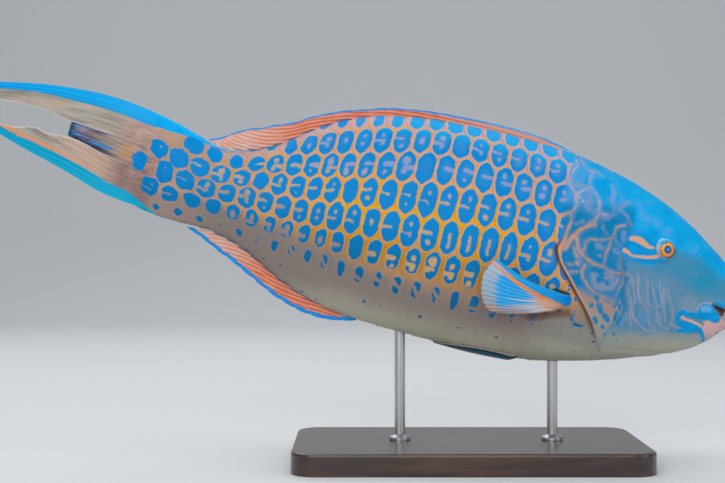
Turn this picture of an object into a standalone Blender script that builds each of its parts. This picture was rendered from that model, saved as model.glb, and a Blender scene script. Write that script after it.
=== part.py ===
"""Blue-barred parrotfish, life size, on a display stand: the solid construction.

The fish is drawn straight, with its snout tip at the origin, its head towards +X and its
left side towards +Y. T is the distance behind the snout along the body. The bend then
swings the tail to the fish's left, and the empty "fish" pitches the nose down and lifts
the fish to its height over the base. The origin of the part is the middle of the base's
underside. Metres, +Z up.
"""
import math

import bmesh
import bpy
import numpy as np
from mathutils import Vector
from mathutils.bvhtree import BVHTree

MM = 0.001

# --- pose -----------------------------------------------------------------------------
SNOUT_X = 205 * MM                  # snout tip, in front of the middle of the base
SNOUT_Z = 118.5 * MM                # snout tip, above the floor
NOSE_DOWN = math.radians(14.0)
BEND_START = 200 * MM               # the body is straight up to here
BEND_RADIUS = 1.75                  # and follows this arc behind it

# --- body, in millimetres: T, top, bottom, half width, height of the widest point -------
STATIONS = (
    (0, 0, -5, 5.5, -4),
    (4, 11, -15, 12.0, -6),
    (11, 19.3, -25, 16.5, -7),
    (20, 27, -35, 20.5, -8),
    (33, 36, -44.3, 24.5, -8),
    (51, 47.5, -52.8, 28.5, -7),
    (78, 60.5, -62.5, 33.0, -4),
    (110, 70.8, -72, 36.5, -2),
    (150, 78, -80.5, 39.0, 0),
    (200, 80.3, -83.6, 39.5, 1),
    (245, 78.5, -83, 36.0, 0),
    (285, 73.5, -81, 30.0, -1),
    (315, 64, -75.5, 25.0, -3),
    (340, 50.5, -66.5, 20.5, -6),
    (366, 31.5, -53.8, 16.0, -9),
    (385, 22.3, -46.6, 13.5, -11),
    (405, 18.2, -43.3, 11.6, -12),
    (432, 25.5, -43.2, 9.4, -9),
    (455, 31.5, -41.3, 6.6, -5),
    (471, 34.5, -39, 3.6, -3),
)
ROUND_UP = 2.0                      # section exponents over and under the widest point
ROUND_DOWN = 2.25
FRONT_SLANT = 9.0                   # the chin starts this far behind the upper lip, mm
RING = 48                           # points round a section
HEAD_RINGS = 15
TRUNK_RINGS = 21
STALK_RINGS = 8
STALK_START = 405                   # mm
STALK_END = 470                     # mm, where the tail fin's rays come out of the scales

# --- gill opening, as T over height, and the front edge of the gill cover ---------------
GILL_EDGE = ((-84, 84), (-60, 98), (-36, 116), (-16, 134.5), (0, 148), (6, 150),
             (14, 146), (26, 136), (48, 125), (80, 117))
COVER_FRONT = 91.0                  # mm, foremost point of the cover's front edge
COVER_FRONT_Z = -25.0
COVER_FRONT_CURVE = 0.012           # mm per mm squared
COVER_LOW = -5                      # its lower and upper ends, in steps round a section
COVER_HIGH = 3
COVER_THICK = 3.0                   # mm

GAP = 0.3                           # mm, between touching pieces
SLANT_GAP = 0.45                    # mm along T, where the joint is slanted

# --- eyes and mouth ---------------------------------------------------------------------
EYE_T = 71.0
EYE_Z = 24.6
EYE_DISC = 8.3                      # mm, radius in the plane of the head's side
EYE_DEPTH = 5.5                     # mm, half depth
EYE_SUNK = 2.2                      # mm, its middle lies this far under the skin
EYE_AXIS = (0.10, 1.0, 0.12)        # forward, sideways, up
MOUTH = ((27.5, -6.0), (15, -7.2), (-6, -1.5), (-6, -25), (14.5, -14.75),
         (17, -13.3), (21, -9.8))   # side view of the open mouth, T and height
BEAK_THICK = 3.6                    # mm at the root of the plates
BEAK_EDGE = 1.2                     # mm at the cutting edge
BEAK_STEPS = 14
# front, side end, half width, root height and slope, cutting edge at front and side
UPPER_BEAK = (1.6, 13.0, 14.0, -3.9, -0.271, -10.8, -9.4)
LOWER_BEAK = (5.4, 14.0, 11.5, -19.0, 0.5, -12.2, -12.0)

# --- fins, in millimetres ----------------------------------------------------------------
DORSAL = ((148, 0.9), (176, 5), (253, 6), (305, 6.5), (330, 9.5), (355, 14), (375, 18),
          (390, 18), (403, 13.5), (412, 7), (419, 2.6))
DORSAL_FREE = (385, 0.2, 1.4)       # behind here its lower edge lifts off the back
ANAL = ((277, 1.2), (290, 5.5), (304, 9.5), (320, 12), (341, 14), (363, 15), (385, 13.5),
        (397, 11), (408, 6.8), (419, 2.6))
ANAL_FREE = (398, 0.2, 1.4)
MEDIAN_LIFT = 0.5                   # the root's gap to the facets of the body
MEDIAN_ROOT = 1.4                   # half thickness of a fin at its root and its edge
MEDIAN_EDGE = 0.45
TAIL_UPPER_OUT = ((470, 34.3), (491, 37), (512, 38), (545, 36.4), (570, 33.3),
                  (595, 29), (618, 25), (634, 22))
TAIL_UPPER_IN = ((470, 7.3), (500, 10), (530, 12), (552, 15.2), (570, 15.9),
                 (592, 15), (615, 17), (634, 20.2))
TAIL_MIDDLE_OUT = ((470, 6.7), (500, 9.3), (530, 11.3))
TAIL_MIDDLE_IN = ((470, -11.2), (500, -5.4), (530, 1.2))
TAIL_LOWER_IN = ((470, -12), (500, -6.6), (528, -0.6), (545, -1.2), (557, 1.2),
                 (572, -2), (590, -3.4), (612, -1.6))
TAIL_LOWER_OUT = ((470, -38.9), (493, -35.6), (515, -29.2), (540, -22.6), (563, -17.2),
                  (587, -10.4), (612, -3.6))
TAIL_ROOT = 3.0                     # half thickness at the stalk, and at the far end
TAIL_TIP = 0.5
PECTORAL_ROOT = ((131.5, -25.5), (134.0, -37.0))    # T and height of its two ends
PECTORAL_LIFT = 2.0                 # its root stands this far off the skin
PECTORAL_MARGIN = ((193, -12.5, 61), (198.5, -27, 59), (195.5, -41, 55),
                   (186, -50, 50), (174, -49, 47), (163, -44.5, 44.5))
PECTORAL_DROOP = 4.0                # the leading ray sags this far between root and tip
PECTORAL_BOW = 2.0                  # and the whole fan bows outwards
PECTORAL_HALF = (1.1, 0.4)          # half thickness at root and margin
PELVIC_START = 151
PELVIC_LENGTH = 66
PELVIC_INNER = math.radians(5)      # from the keel, round the section
PELVIC_OUTER = math.radians(21)
PELVIC_THICK = (2.4, 1.0)

# --- stand, in metres ---------------------------------------------------------------------
BASE_LENGTH = 260 * MM
BASE_WIDTH = 140 * MM
BASE_HEIGHT = 16 * MM
BASE_CORNER = 18 * MM
BASE_BEVEL = 2 * MM
ROD_RADIUS = 4 * MM
ROD_FOOT = 8 * MM                   # radius of the collar on the base
ROD_FOOT_HEIGHT = 4 * MM
ROD_SIDES = 20
ROD_T = {"stand_rod_front": 127, "stand_rod_rear": 243}


# --- curves ----------------------------------------------------------------------------------
def smooth(knots, x):
    """Curve through (x, value) knots, with no overshoot between them."""
    xs, ys = np.array(knots, float).T
    step = np.diff(xs)
    slope = np.diff(ys) / step
    tangent = np.zeros(len(xs))
    tangent[0], tangent[-1] = slope[0], slope[-1]
    for i in range(1, len(xs) - 1):
        if slope[i - 1] * slope[i] > 0:
            a, b = 2 * step[i] + step[i - 1], step[i] + 2 * step[i - 1]
            tangent[i] = (a + b) / (a / slope[i - 1] + b / slope[i])
    i = int(np.clip(np.searchsorted(xs, x) - 1, 0, len(step) - 1))
    u = (min(max(x, xs[0]), xs[-1]) - xs[i]) / step[i]
    return ((1 + 2 * u) * (1 - u) ** 2 * ys[i] + u * (1 - u) ** 2 * step[i] * tangent[i]
            + u * u * (3 - 2 * u) * ys[i + 1] + u * u * (u - 1) * step[i] * tangent[i + 1])


def column(index):
    return [(row[0], row[index]) for row in STATIONS]


def power(value, exponent):
    return math.copysign(abs(value) ** exponent, value)


def body(t, angle):
    """Point of the body's surface: T in mm, angle 0 at the left, 90 degrees on the back."""
    top, bottom, half, middle = (smooth(column(i), t) for i in (1, 2, 3, 4))
    up = math.sin(angle) > 0
    exponent = 2 / (ROUND_UP if up else ROUND_DOWN)
    height = top - middle if up else middle - bottom
    return Vector((-t, half * power(math.cos(angle), exponent),
                   middle + height * power(math.sin(angle), exponent)))


def body_normal(t, angle):
    along = body(t + 0.5, angle) - body(t - 0.5, angle)
    around = body(t, angle + 0.01) - body(t, angle - 0.01)
    return along.cross(around).normalized()


def on_side(t, height, side):
    """Point on the body's side at T and a height, side +1 left or -1 right."""
    low, high = -math.pi / 2, math.pi / 2
    for _ in range(40):
        angle = (low + high) / 2
        if body(t, angle).z < height:
            low = angle
        else:
            high = angle
    point = body(t, angle)
    normal = body_normal(t, angle)
    return (Vector((point.x, side * point.y, point.z)),
            Vector((normal.x, side * normal.y, normal.z)))


def bend(point):
    """Straight fish in mm to bent fish in metres."""
    t, y, z = -point[0] * MM, point[1] * MM, point[2] * MM
    if t <= BEND_START:
        return Vector((-t, y, z))
    heading = (t - BEND_START) / BEND_RADIUS
    return Vector((-BEND_START - (BEND_RADIUS - y) * math.sin(heading),
                   BEND_RADIUS - (BEND_RADIUS - y) * math.cos(heading), z))


# --- meshes ----------------------------------------------------------------------------------
def material(name, colour, roughness, metallic=0.0):
    made = bpy.data.materials.new(name)
    made.use_nodes = True
    shader = made.node_tree.nodes["Principled BSDF"]
    shader.inputs["Base Color"].default_value = (*colour, 1)
    shader.inputs["Roughness"].default_value = roughness
    shader.inputs["Metallic"].default_value = metallic
    return made


def add_object(name, points, faces, finish, parent=None, smooth_angle=40):
    mesh = bpy.data.meshes.new(name)
    mesh.from_pydata([tuple(point) for point in points], [], faces)
    work = bmesh.new()
    work.from_mesh(mesh)
    bmesh.ops.recalc_face_normals(work, faces=work.faces)
    bmesh.ops.triangulate(work, faces=work.faces)
    work.to_mesh(mesh)
    work.free()
    mesh.shade_smooth()
    mesh.set_sharp_from_angle(angle=math.radians(smooth_angle))
    if finish:
        mesh.materials.append(finish)
    made = bpy.data.objects.new(name, mesh)
    bpy.context.scene.collection.objects.link(made)
    made.parent = parent
    return made


def cut(target, cutter):
    cutter.hide_render = True
    cutter.display_type = "WIRE"
    boolean = target.modifiers.new(cutter.name, "BOOLEAN")
    boolean.operation = "DIFFERENCE"
    boolean.solver = "EXACT"
    boolean.object = cutter


def ring_angles():
    return [-math.pi / 2 + 2 * math.pi * j / RING for j in range(RING)]


def ladder(start, flip=False):
    """Faces closing a ring from side to side, so that facing ends match."""
    half = RING // 2
    faces = [(start, start + 1, start + RING - 1)]
    for j in range(1, half - 1):
        faces.append((start + j, start + j + 1, start + RING - j - 1, start + RING - j))
    faces.append((start + half - 1, start + half, start + half + 1))
    return [tuple(reversed(face)) for face in faces] if flip else faces


def loft(name, rings, finish, parent):
    """Closed body through rings of points, listed from front to rear."""
    points = [bend(point) for ring in rings for point in ring]
    faces = ladder(0) + ladder((len(rings) - 1) * RING, flip=True)
    for i in range(len(rings) - 1):
        for j in range(RING):
            k = (j + 1) % RING
            faces.append((i * RING + j, (i + 1) * RING + j, (i + 1) * RING + k, i * RING + k))
    return add_object(name, points, faces, finish, parent)


def grid_solid(name, front, back, finish, parent):
    """Closed solid between two equal grids of points (mm), which share a rim strip."""
    rows, columns = len(front), len(front[0])
    points = [bend(point) for grid in (front, back) for row in grid for point in row]
    count = rows * columns
    faces = []
    for i in range(rows - 1):
        for j in range(columns - 1):
            quad = (i * columns + j, i * columns + j + 1,
                    (i + 1) * columns + j + 1, (i + 1) * columns + j)
            faces += [quad, tuple(count + k for k in reversed(quad))]
    rim = ([j for j in range(columns)]
           + [i * columns + columns - 1 for i in range(1, rows)]
           + [(rows - 1) * columns + j for j in range(columns - 2, -1, -1)]
           + [i * columns for i in range(rows - 2, 0, -1)])
    for a, b in zip(rim, rim[1:] + rim[:1]):
        faces.append((a, count + a, count + b, b))
    return add_object(name, points, faces, finish, parent)


# --- body --------------------------------------------------------------------------------------
def gill_t(angle, shift=0.0):
    """T of the gill opening on the section line at this angle."""
    t = 130.0
    for _ in range(12):
        t = smooth(GILL_EDGE, body(t, angle).z) + shift
    return t


def front_t(angle):
    return 1.0 + FRONT_SLANT * (1 - math.sin(angle)) / 2


def build_head(finish, fish):
    rings = []
    lip = [body(front_t(angle), angle) for angle in ring_angles()]
    middle = sum(lip, Vector()) / RING
    rings.append([middle.lerp(point, 0.72) + Vector((1.0, 0, 0)) for point in lip])
    for i in range(HEAD_RINGS):
        share = (i / (HEAD_RINGS - 1)) ** 1.25
        rings.append([body(front_t(a) + (gill_t(a) - front_t(a)) * share, a)
                      for a in ring_angles()])
    return loft("head", rings, finish, fish)


def build_trunk(finish, fish):
    rings = []
    for i in range(TRUNK_RINGS):
        share = i / (TRUNK_RINGS - 1)
        rings.append([body(gill_t(a, SLANT_GAP) * (1 - share)
                           + (STALK_START - GAP) * share, a) for a in ring_angles()])
    return loft("trunk", rings, finish, fish)


def build_tail_stalk(finish, fish):
    rings = [[body(STALK_START + (STALK_END - STALK_START) * i / (STALK_RINGS - 1), a)
              for a in ring_angles()] for i in range(STALK_RINGS)]
    return loft("tail_stalk", rings, finish, fish)


def cover_shell(name, side, inner, outer, margin, finish, fish):
    """Shell on the cheek's rear, between depths inner and outer; margin widens it."""
    columns = 7
    pad = {COVER_LOW: -margin / 40, COVER_HIGH: margin / 40}
    grids = ([], [])
    for i in range(COVER_LOW, COVER_HIGH + 1):
        angle = 2 * math.pi * i / RING + pad.get(i, 0)
        edge = gill_t(angle)
        height = body(edge, angle).z
        start = COVER_FRONT + COVER_FRONT_CURVE * (height - COVER_FRONT_Z) ** 2
        start = min(start, edge - 6) - margin
        stop = edge + (4 if margin else 0)
        for grid, depth in zip(grids, (outer, inner)):
            row = []
            for j in range(columns):
                t = start + (stop - start) * j / (columns - 1)
                inward = body_normal(t, angle)
                inward.x = 0
                point = body(t, angle) + inward.normalized() * depth
                row.append(Vector((point.x, side * point.y, point.z)))
            grid.append(row)
    return grid_solid(name, grids[0], grids[1], finish, fish)


def eye_solid(name, side, grow, finish, fish):
    """Flattened ball set in the side of the head."""
    surface, _ = on_side(EYE_T, EYE_Z, side)
    axis = Vector((EYE_AXIS[0], side * EYE_AXIS[1], EYE_AXIS[2])).normalized()
    up = (Vector((0, 0, 1)) - axis * axis.z).normalized()
    across = axis.cross(up)
    centre = surface - axis * EYE_SUNK
    sides, layers = 20, 11
    disc, depth = EYE_DISC + grow, EYE_DEPTH + grow
    points = [centre + axis * depth]
    for i in range(1, layers):
        polar = math.pi * i / layers
        for j in range(sides):
            turn = 2 * math.pi * j / sides
            points.append(centre + axis * depth * math.cos(polar)
                          + (across * math.cos(turn) + up * math.sin(turn))
                          * disc * math.sin(polar))
    points.append(centre - axis * depth)
    last = len(points) - 1
    faces = []
    for j in range(sides):
        k = (j + 1) % sides
        faces.append((0, 1 + j, 1 + k))
        faces.append((last, last - sides + k, last - sides + j))
        for i in range(layers - 2):
            a = 1 + i * sides
            faces.append((a + j, a + sides + j, a + sides + k, a + k))
    return add_object(name, [bend(point) for point in points], faces, finish, fish)


def mouth_cutter(fish):
    width = 40
    count = len(MOUTH)
    points = [bend((-t, y, z)) for y in (-width, width) for t, z in MOUTH]
    faces = [tuple(range(count)), tuple(range(2 * count - 1, count - 1, -1))]
    for i in range(count):
        j = (i + 1) % count
        faces.append((i, count + i, count + j, j))
    return add_object("mouth_cutter", points, faces, None, fish)


def beak(name, shape, finish, fish):
    """Curved tooth plate: a bow in plan, thick at its root and thin at its cutting edge."""
    front, rear, half, root, slope, edge_front, edge_side = shape
    outer, inner = [], []
    for i in range(BEAK_STEPS + 1):
        across = -1 + 2 * i / BEAK_STEPS
        t = front + (rear - front) * across ** 2
        outward = Vector((half, 2 * (rear - front) * across, 0)).normalized()
        edge_z = edge_front + (edge_side - edge_front) * across ** 2
        rows = ([], [])
        for level in (0, 0.5, 1):
            bulge = 0.9 * math.sin(math.pi * level) - 0.5 * level
            thick = BEAK_THICK + (BEAK_EDGE - BEAK_THICK) * level
            for row, depth in zip(rows, (bulge, bulge - thick)):
                point = Vector((-t, half * across, 0)) + outward * depth
                root_z = root + slope * (-point.x - front)
                point.z = root_z + (edge_z - root_z) * level
                row.append(point)
        outer.append(rows[0])
        inner.append(rows[1])
    return grid_solid(name, outer, inner, finish, fish)


# --- fins ---------------------------------------------------------------------------------------
def median_fin(name, profile, free, upward, columns, finish, fish):
    """Upright fin on the back (upward +1) or under the belly (-1)."""
    edge_column = column(1 if upward > 0 else 2)
    left, right = [], []
    start, end = profile[0][0], profile[-1][0]
    for i in range(columns + 1):
        t = start + (end - start) * i / columns
        lift = MEDIAN_LIFT
        if t > free[0]:
            lift += free[1] + (free[2] - free[1]) * (t - free[0]) / (end - free[0])
        low = smooth(edge_column, t) + upward * lift
        high = smooth(edge_column, t) + upward * max(smooth(profile, t), lift + 0.7)
        rows = ([], [])
        for level in (0, 0.45, 1):
            half = MEDIAN_ROOT + (MEDIAN_EDGE - MEDIAN_ROOT) * level
            z = low + (high - low) * level
            rows[0].append(Vector((-t, half, z)))
            rows[1].append(Vector((-t, -half, z)))
        left.append(rows[0])
        right.append(rows[1])
    return grid_solid(name, left, right, finish, fish)


def tail_blade(name, inner_edge, outer_edge, columns, finish, fish):
    """One part of the tail fin, between two edges that run rearwards."""
    left, right = [], []
    start, end = STALK_END + GAP, outer_edge[-1][0]
    reach = TAIL_UPPER_OUT[-1][0] - STALK_END
    for i in range(columns + 1):
        t = start + (end - start) * (1 - (1 - i / columns) ** 1.2)
        along = (t - STALK_END) / reach
        rows = ([], [])
        for level in (0, 1 / 3, 2 / 3, 1):
            z = smooth(inner_edge, t) * (1 - level) + smooth(outer_edge, t) * level
            crown = 0.7 + 0.3 * math.sin(math.pi * level)
            half = (TAIL_TIP + (TAIL_ROOT - TAIL_TIP) * (1 - along) ** 2) * crown
            rows[0].append(Vector((-t, half, z)))
            rows[1].append(Vector((-t, -half, z)))
        left.append(rows[0])
        right.append(rows[1])
    return grid_solid(name, left, right, finish, fish)


def pectoral_fin(name, side, finish, fish):
    """Fan from a short root behind the gill cover, standing off the flank."""
    roots = []
    for t, height in PECTORAL_ROOT:
        point, normal = on_side(t, height, side)
        roots.append(point + normal * PECTORAL_LIFT)
    rays, steps = 8, 7
    margin_curves = [[(i / (len(PECTORAL_MARGIN) - 1), row[k])
                      for i, row in enumerate(PECTORAL_MARGIN)] for k in range(3)]
    middle = []
    for i in range(rays + 1):
        share = i / rays
        t, height, width = (smooth(curve, share) for curve in margin_curves)
        tip = Vector((-t, side * width, height))
        root = roots[0].lerp(roots[1], share)
        sag = Vector((0, side * PECTORAL_BOW, -PECTORAL_DROOP * (1 - share)))
        middle.append([root.lerp(tip, j / steps) + sag * math.sin(math.pi * j / steps)
                       for j in range(steps + 1)])
    front, back = [], []
    for i in range(rays + 1):
        rows = ([], [])
        for j in range(steps + 1):
            a, b = max(i - 1, 0), min(i + 1, rays)
            c, d = max(j - 1, 0), min(j + 1, steps)
            normal = (middle[b][j] - middle[a][j]).cross(middle[i][d] - middle[i][c])
            normal.normalize()
            half = PECTORAL_HALF[0] + (PECTORAL_HALF[1] - PECTORAL_HALF[0]) * j / steps
            rows[0].append(middle[i][j] + normal * half)
            rows[1].append(middle[i][j] - normal * half)
        front.append(rows[0])
        back.append(rows[1])
    return grid_solid(name, front, back, finish, fish)


def pelvic_fin(name, side, finish, fish):
    """Narrow fin folded back flat against the belly, beside the keel."""
    rows, columns = 9, 4
    outer, inner = [], []
    for i in range(rows + 1):
        share = i / rows
        t = PELVIC_START + PELVIC_LENGTH * share
        spread = 0.35 + 0.65 * math.sin(math.pi * min(share * 0.95 + 0.12, 1)) ** 0.8
        thick = PELVIC_THICK[0] + (PELVIC_THICK[1] - PELVIC_THICK[0]) * share
        lines = ([], [])
        for j in range(columns + 1):
            turn = PELVIC_INNER + (PELVIC_OUTER - PELVIC_INNER) * spread * j / columns
            angle = turn - math.pi / 2
            point, normal = body(t, angle), body_normal(t, angle)
            for line, depth in zip(lines, (GAP + 0.1 + thick, GAP + 0.1)):
                lifted = point + normal * depth
                line.append(Vector((lifted.x, side * lifted.y, lifted.z)))
        outer.append(lines[0])
        inner.append(lines[1])
    return grid_solid(name, outer, inner, finish, fish)


# --- stand ----------------------------------------------------------------------------------------
def stand_base(finish):
    work = bmesh.new()
    bmesh.ops.create_cube(work, size=1)
    for vertex in work.verts:
        vertex.co.x *= BASE_LENGTH
        vertex.co.y *= BASE_WIDTH
        vertex.co.z = (vertex.co.z + 0.5) * BASE_HEIGHT
    upright = [edge for edge in work.edges
               if abs(edge.verts[0].co.z - edge.verts[1].co.z) > BASE_HEIGHT / 2]
    bmesh.ops.bevel(work, geom=upright, offset=BASE_CORNER, segments=6, profile=0.5,
                    affect="EDGES")
    rim = [edge for edge in work.edges
           if min(edge.verts[0].co.z, edge.verts[1].co.z) > BASE_HEIGHT * 0.9]
    bmesh.ops.bevel(work, geom=rim, offset=BASE_BEVEL, segments=2, profile=0.5,
                    affect="EDGES")
    mesh = bpy.data.meshes.new("stand_base")
    work.to_mesh(mesh)
    work.free()
    mesh.shade_smooth()
    mesh.set_sharp_from_angle(angle=math.radians(35))
    mesh.materials.append(finish)
    made = bpy.data.objects.new("stand_base", mesh)
    bpy.context.scene.collection.objects.link(made)
    return made


def stand_rod(name, t, trunk, finish):
    """Upright rod with a collar foot, its top cut to the slope of the belly."""
    bpy.context.view_layer.update()
    matrix = trunk.matrix_world
    corners = [matrix @ vertex.co for vertex in trunk.data.vertices]
    belly = BVHTree.FromPolygons(corners, [tuple(p.vertices) for p in trunk.data.polygons])
    centre = matrix @ bend(body(t, -math.pi / 2))
    floor = BASE_HEIGHT + GAP * MM
    profile = [(ROD_FOOT, floor), (ROD_FOOT, floor + ROD_FOOT_HEIGHT * 0.5),
               (ROD_RADIUS, floor + ROD_FOOT_HEIGHT)]

    def under_belly(x, y):
        return belly.ray_cast(Vector((x, y, 0)), Vector((0, 0, 1)))[0].z - GAP * MM

    points = []
    for radius, height in profile + [(ROD_RADIUS, None), (ROD_RADIUS / 2, None)]:
        for j in range(ROD_SIDES):
            turn = 2 * math.pi * j / ROD_SIDES
            x = centre.x + radius * math.cos(turn)
            y = centre.y + radius * math.sin(turn)
            points.append((x, y, height or under_belly(x, y)))
    last = len(points) - ROD_SIDES
    points.append((centre.x, centre.y, under_belly(centre.x, centre.y)))
    faces = [tuple(range(ROD_SIDES))]
    for j in range(ROD_SIDES):
        k = (j + 1) % ROD_SIDES
        for a in range(0, last, ROD_SIDES):
            faces.append((a + j, a + k, a + ROD_SIDES + k, a + ROD_SIDES + j))
        faces.append((last + j, last + k, last + ROD_SIDES))
    return add_object(name, points, faces, finish)


def main():
    for item in list(bpy.data.objects):
        bpy.data.objects.remove(item, do_unlink=True)

    skin = material("blue_skin", (0.03, 0.36, 0.62), 0.42)
    flank = material("scaled_flank", (0.42, 0.40, 0.40), 0.42)
    fin = material("salmon_fin", (0.82, 0.40, 0.28), 0.45)
    blue_fin = material("blue_fin", (0.05, 0.42, 0.75), 0.4)
    tooth = material("tooth_plate", (0.80, 0.72, 0.66), 0.3)
    eye = material("eye_glass", (0.72, 0.38, 0.08), 0.12)
    wood = material("stand_wood", (0.07, 0.04, 0.025), 0.35)
    steel = material("stand_steel", (0.62, 0.62, 0.63), 0.28, metallic=1.0)

    fish = bpy.data.objects.new("fish", None)
    bpy.context.scene.collection.objects.link(fish)
    fish.location = (SNOUT_X, 0, SNOUT_Z)
    fish.rotation_euler = (0, NOSE_DOWN, 0)

    head = build_head(skin, fish)
    trunk = build_trunk(flank, fish)
    build_tail_stalk(flank, fish)
    cut(head, mouth_cutter(fish))
    for word, side in (("left", 1), ("right", -1)):
        eye_solid("eye_" + word, side, 0, eye, fish)
        cut(head, eye_solid("socket_cutter_" + word, side, GAP, None, fish))
        cover_shell("gill_cover_" + word, side, -COVER_THICK, 0, 0, skin, fish)
        cut(head, cover_shell("cover_cutter_" + word, side, -COVER_THICK - GAP, 3, GAP,
                              None, fish))
        pectoral_fin("pectoral_fin_" + word, side, blue_fin, fish)
        pelvic_fin("pelvic_fin_" + word, side, fin, fish)
    beak("beak_upper", UPPER_BEAK, tooth, fish)
    beak("beak_lower", LOWER_BEAK, tooth, fish)
    median_fin("dorsal_fin", DORSAL, DORSAL_FREE, 1, 34, fin, fish)
    median_fin("anal_fin", ANAL, ANAL_FREE, -1, 18, fin, fish)
    tail_blade("tail_fin_upper", TAIL_UPPER_IN, TAIL_UPPER_OUT, 14, blue_fin, fish)
    tail_blade("tail_fin_middle", TAIL_MIDDLE_IN, TAIL_MIDDLE_OUT, 5, fin, fish)
    tail_blade("tail_fin_lower", TAIL_LOWER_IN, TAIL_LOWER_OUT, 13, fin, fish)

    stand_base(wood)
    for name, t in ROD_T.items():
        stand_rod(name, t, trunk, steel)


main()
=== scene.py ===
"""Blue-barred parrotfish, life size, on a display stand: its skin, scales, fins and eyes.

The body is drawn straight, in millimetres: T is the distance behind the snout tip, x = -T,
y is the fish's left and z is up. pose() bends it, pitches its nose down and sets it over
the base, in the frame of the solids. Every surface keeps its straight place in attributes,
and the markings are worked out from them.
"""
import math
from types import SimpleNamespace

import bmesh
import bpy
import numpy as np
from bpy.props import FloatProperty, FloatVectorProperty, IntProperty, PointerProperty
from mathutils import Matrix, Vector


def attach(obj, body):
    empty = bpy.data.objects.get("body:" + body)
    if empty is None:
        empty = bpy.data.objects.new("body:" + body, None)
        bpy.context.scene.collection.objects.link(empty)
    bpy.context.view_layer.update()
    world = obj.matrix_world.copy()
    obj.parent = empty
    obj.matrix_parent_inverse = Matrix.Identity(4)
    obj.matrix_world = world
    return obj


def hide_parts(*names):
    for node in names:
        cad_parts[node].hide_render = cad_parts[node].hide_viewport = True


bl_info = {
    "name": "Parrotfish Display Model",
    "version": (1, 0, 0),
    "blender": (4, 5, 0),
    "location": "3D View > Sidebar > Parrotfish",
    "description": "Skin, scales, fins and eyes of a life-size parrotfish on its stand",
    "category": "Object",
}

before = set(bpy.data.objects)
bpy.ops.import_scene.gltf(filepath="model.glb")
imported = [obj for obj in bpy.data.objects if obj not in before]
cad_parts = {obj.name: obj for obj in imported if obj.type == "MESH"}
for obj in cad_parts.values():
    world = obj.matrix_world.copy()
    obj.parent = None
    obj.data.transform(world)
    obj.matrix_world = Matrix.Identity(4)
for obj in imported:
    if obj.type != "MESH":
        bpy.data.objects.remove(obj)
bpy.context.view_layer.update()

MM = 0.001
SIDES = (("left", 1), ("right", -1))

# --- the body's construction, as in the solids --------------------------------------------
SNOUT_X = 205 * MM
SNOUT_Z = 118.5 * MM
NOSE_DOWN = math.radians(14.0)
BEND_START = 200 * MM
BEND_RADIUS = 1.75

# T, top, bottom, half width, height of the widest point
STATIONS = (
    (0, 0, -5, 5.5, -4),
    (4, 11, -15, 12.0, -6),
    (11, 19.3, -25, 16.5, -7),
    (20, 27, -35, 20.5, -8),
    (33, 36, -44.3, 24.5, -8),
    (51, 47.5, -52.8, 28.5, -7),
    (78, 60.5, -62.5, 33.0, -4),
    (110, 70.8, -72, 36.5, -2),
    (150, 78, -80.5, 39.0, 0),
    (200, 80.3, -83.6, 39.5, 1),
    (245, 78.5, -83, 36.0, 0),
    (285, 73.5, -81, 30.0, -1),
    (315, 64, -75.5, 25.0, -3),
    (340, 50.5, -66.5, 20.5, -6),
    (366, 31.5, -53.8, 16.0, -9),
    (385, 22.3, -46.6, 13.5, -11),
    (405, 18.2, -43.3, 11.6, -12),
    (432, 25.5, -43.2, 9.4, -9),
    (455, 31.5, -41.3, 6.6, -5),
    (471, 34.5, -39, 3.6, -3),
)
ROUND_UP = 2.0
ROUND_DOWN = 2.25
FRONT_SLANT = 9.0
STALK_END = 470.0
HEAD_ROWS = 196
TRUNK_ROWS = 104
GILL_EDGE = ((-84, 84), (-60, 98), (-36, 116), (-16, 134.5), (0, 148), (6, 150),
             (14, 146), (26, 136), (48, 125), (80, 117))

EYE_T = 71.0
EYE_Z = 24.6
EYE_DISC = 8.3
EYE_DEPTH = 5.5
EYE_SUNK = 2.2
EYE_AXIS = (0.10, 1.0, 0.12)
# First T, last T and least height of the skin shaped round the eye.
EYE_REGION = (50, 95, 5)
IRIS_SHIFT = 0.85
MOUTH = ((25.8, -7.0), (15, -7.4), (-6, -1.5), (-6, -25), (14.5, -14.75),
         (17, -13.5), (20.5, -10.6))
UPPER_BEAK = (1.6, 13.0, 14.0, -3.9, -0.271, -10.8, -9.4)
LOWER_BEAK = (5.4, 14.0, 11.5, -19.0, 0.5, -12.2, -12.0)
TOOTH_WIDTH = 2.4
# Height at its start, first T and last T of each fold under the throat.
THROAT_FOLDS = ((-50, 40, 92), (-57, 52, 92))

DORSAL = ((148, 0.9), (176, 5), (253, 6), (305, 6.5), (330, 9.5), (355, 14), (375, 18),
          (390, 18), (403, 13.5), (412, 7), (419, 2.6))
DORSAL_FREE = (385, 0.2, 1.4)
ANAL = ((277, 1.2), (290, 5.5), (304, 9.5), (320, 12), (341, 14), (363, 15), (385, 13.5),
        (397, 11), (408, 6.8), (419, 2.6))
ANAL_FREE = (398, 0.2, 1.4)
DORSAL_LEAN = ((148, 0), (253, 4), (300, 7), (330, 12.5), (360, 20.5), (390, 30), (419, 39.3))
ANAL_LEAN = ((277, 0), (300, 2.5), (320, 6.5), (341, 11.5), (363, 17), (390, 24.5), (419, 33))
TAIL_UPPER_OUT = ((470, 34.3), (491, 37), (512, 38), (545, 36.4), (570, 33.3),
                  (595, 29), (618, 25), (634, 22))
TAIL_UPPER_IN = ((470, 7.3), (500, 10), (530, 12), (552, 15.2), (570, 15.9),
                 (592, 15), (615, 17), (634, 20.2))
TAIL_MIDDLE_OUT = ((470, 6.7), (500, 9.3), (530, 11.3))
TAIL_MIDDLE_IN = ((470, -11.2), (500, -5.4), (530, 1.2))
TAIL_LOWER_IN = ((470, -12), (500, -6.6), (528, -0.6), (545, -1.2), (557, 1.2),
                 (572, -2), (590, -3.4), (612, -1.6))
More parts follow.
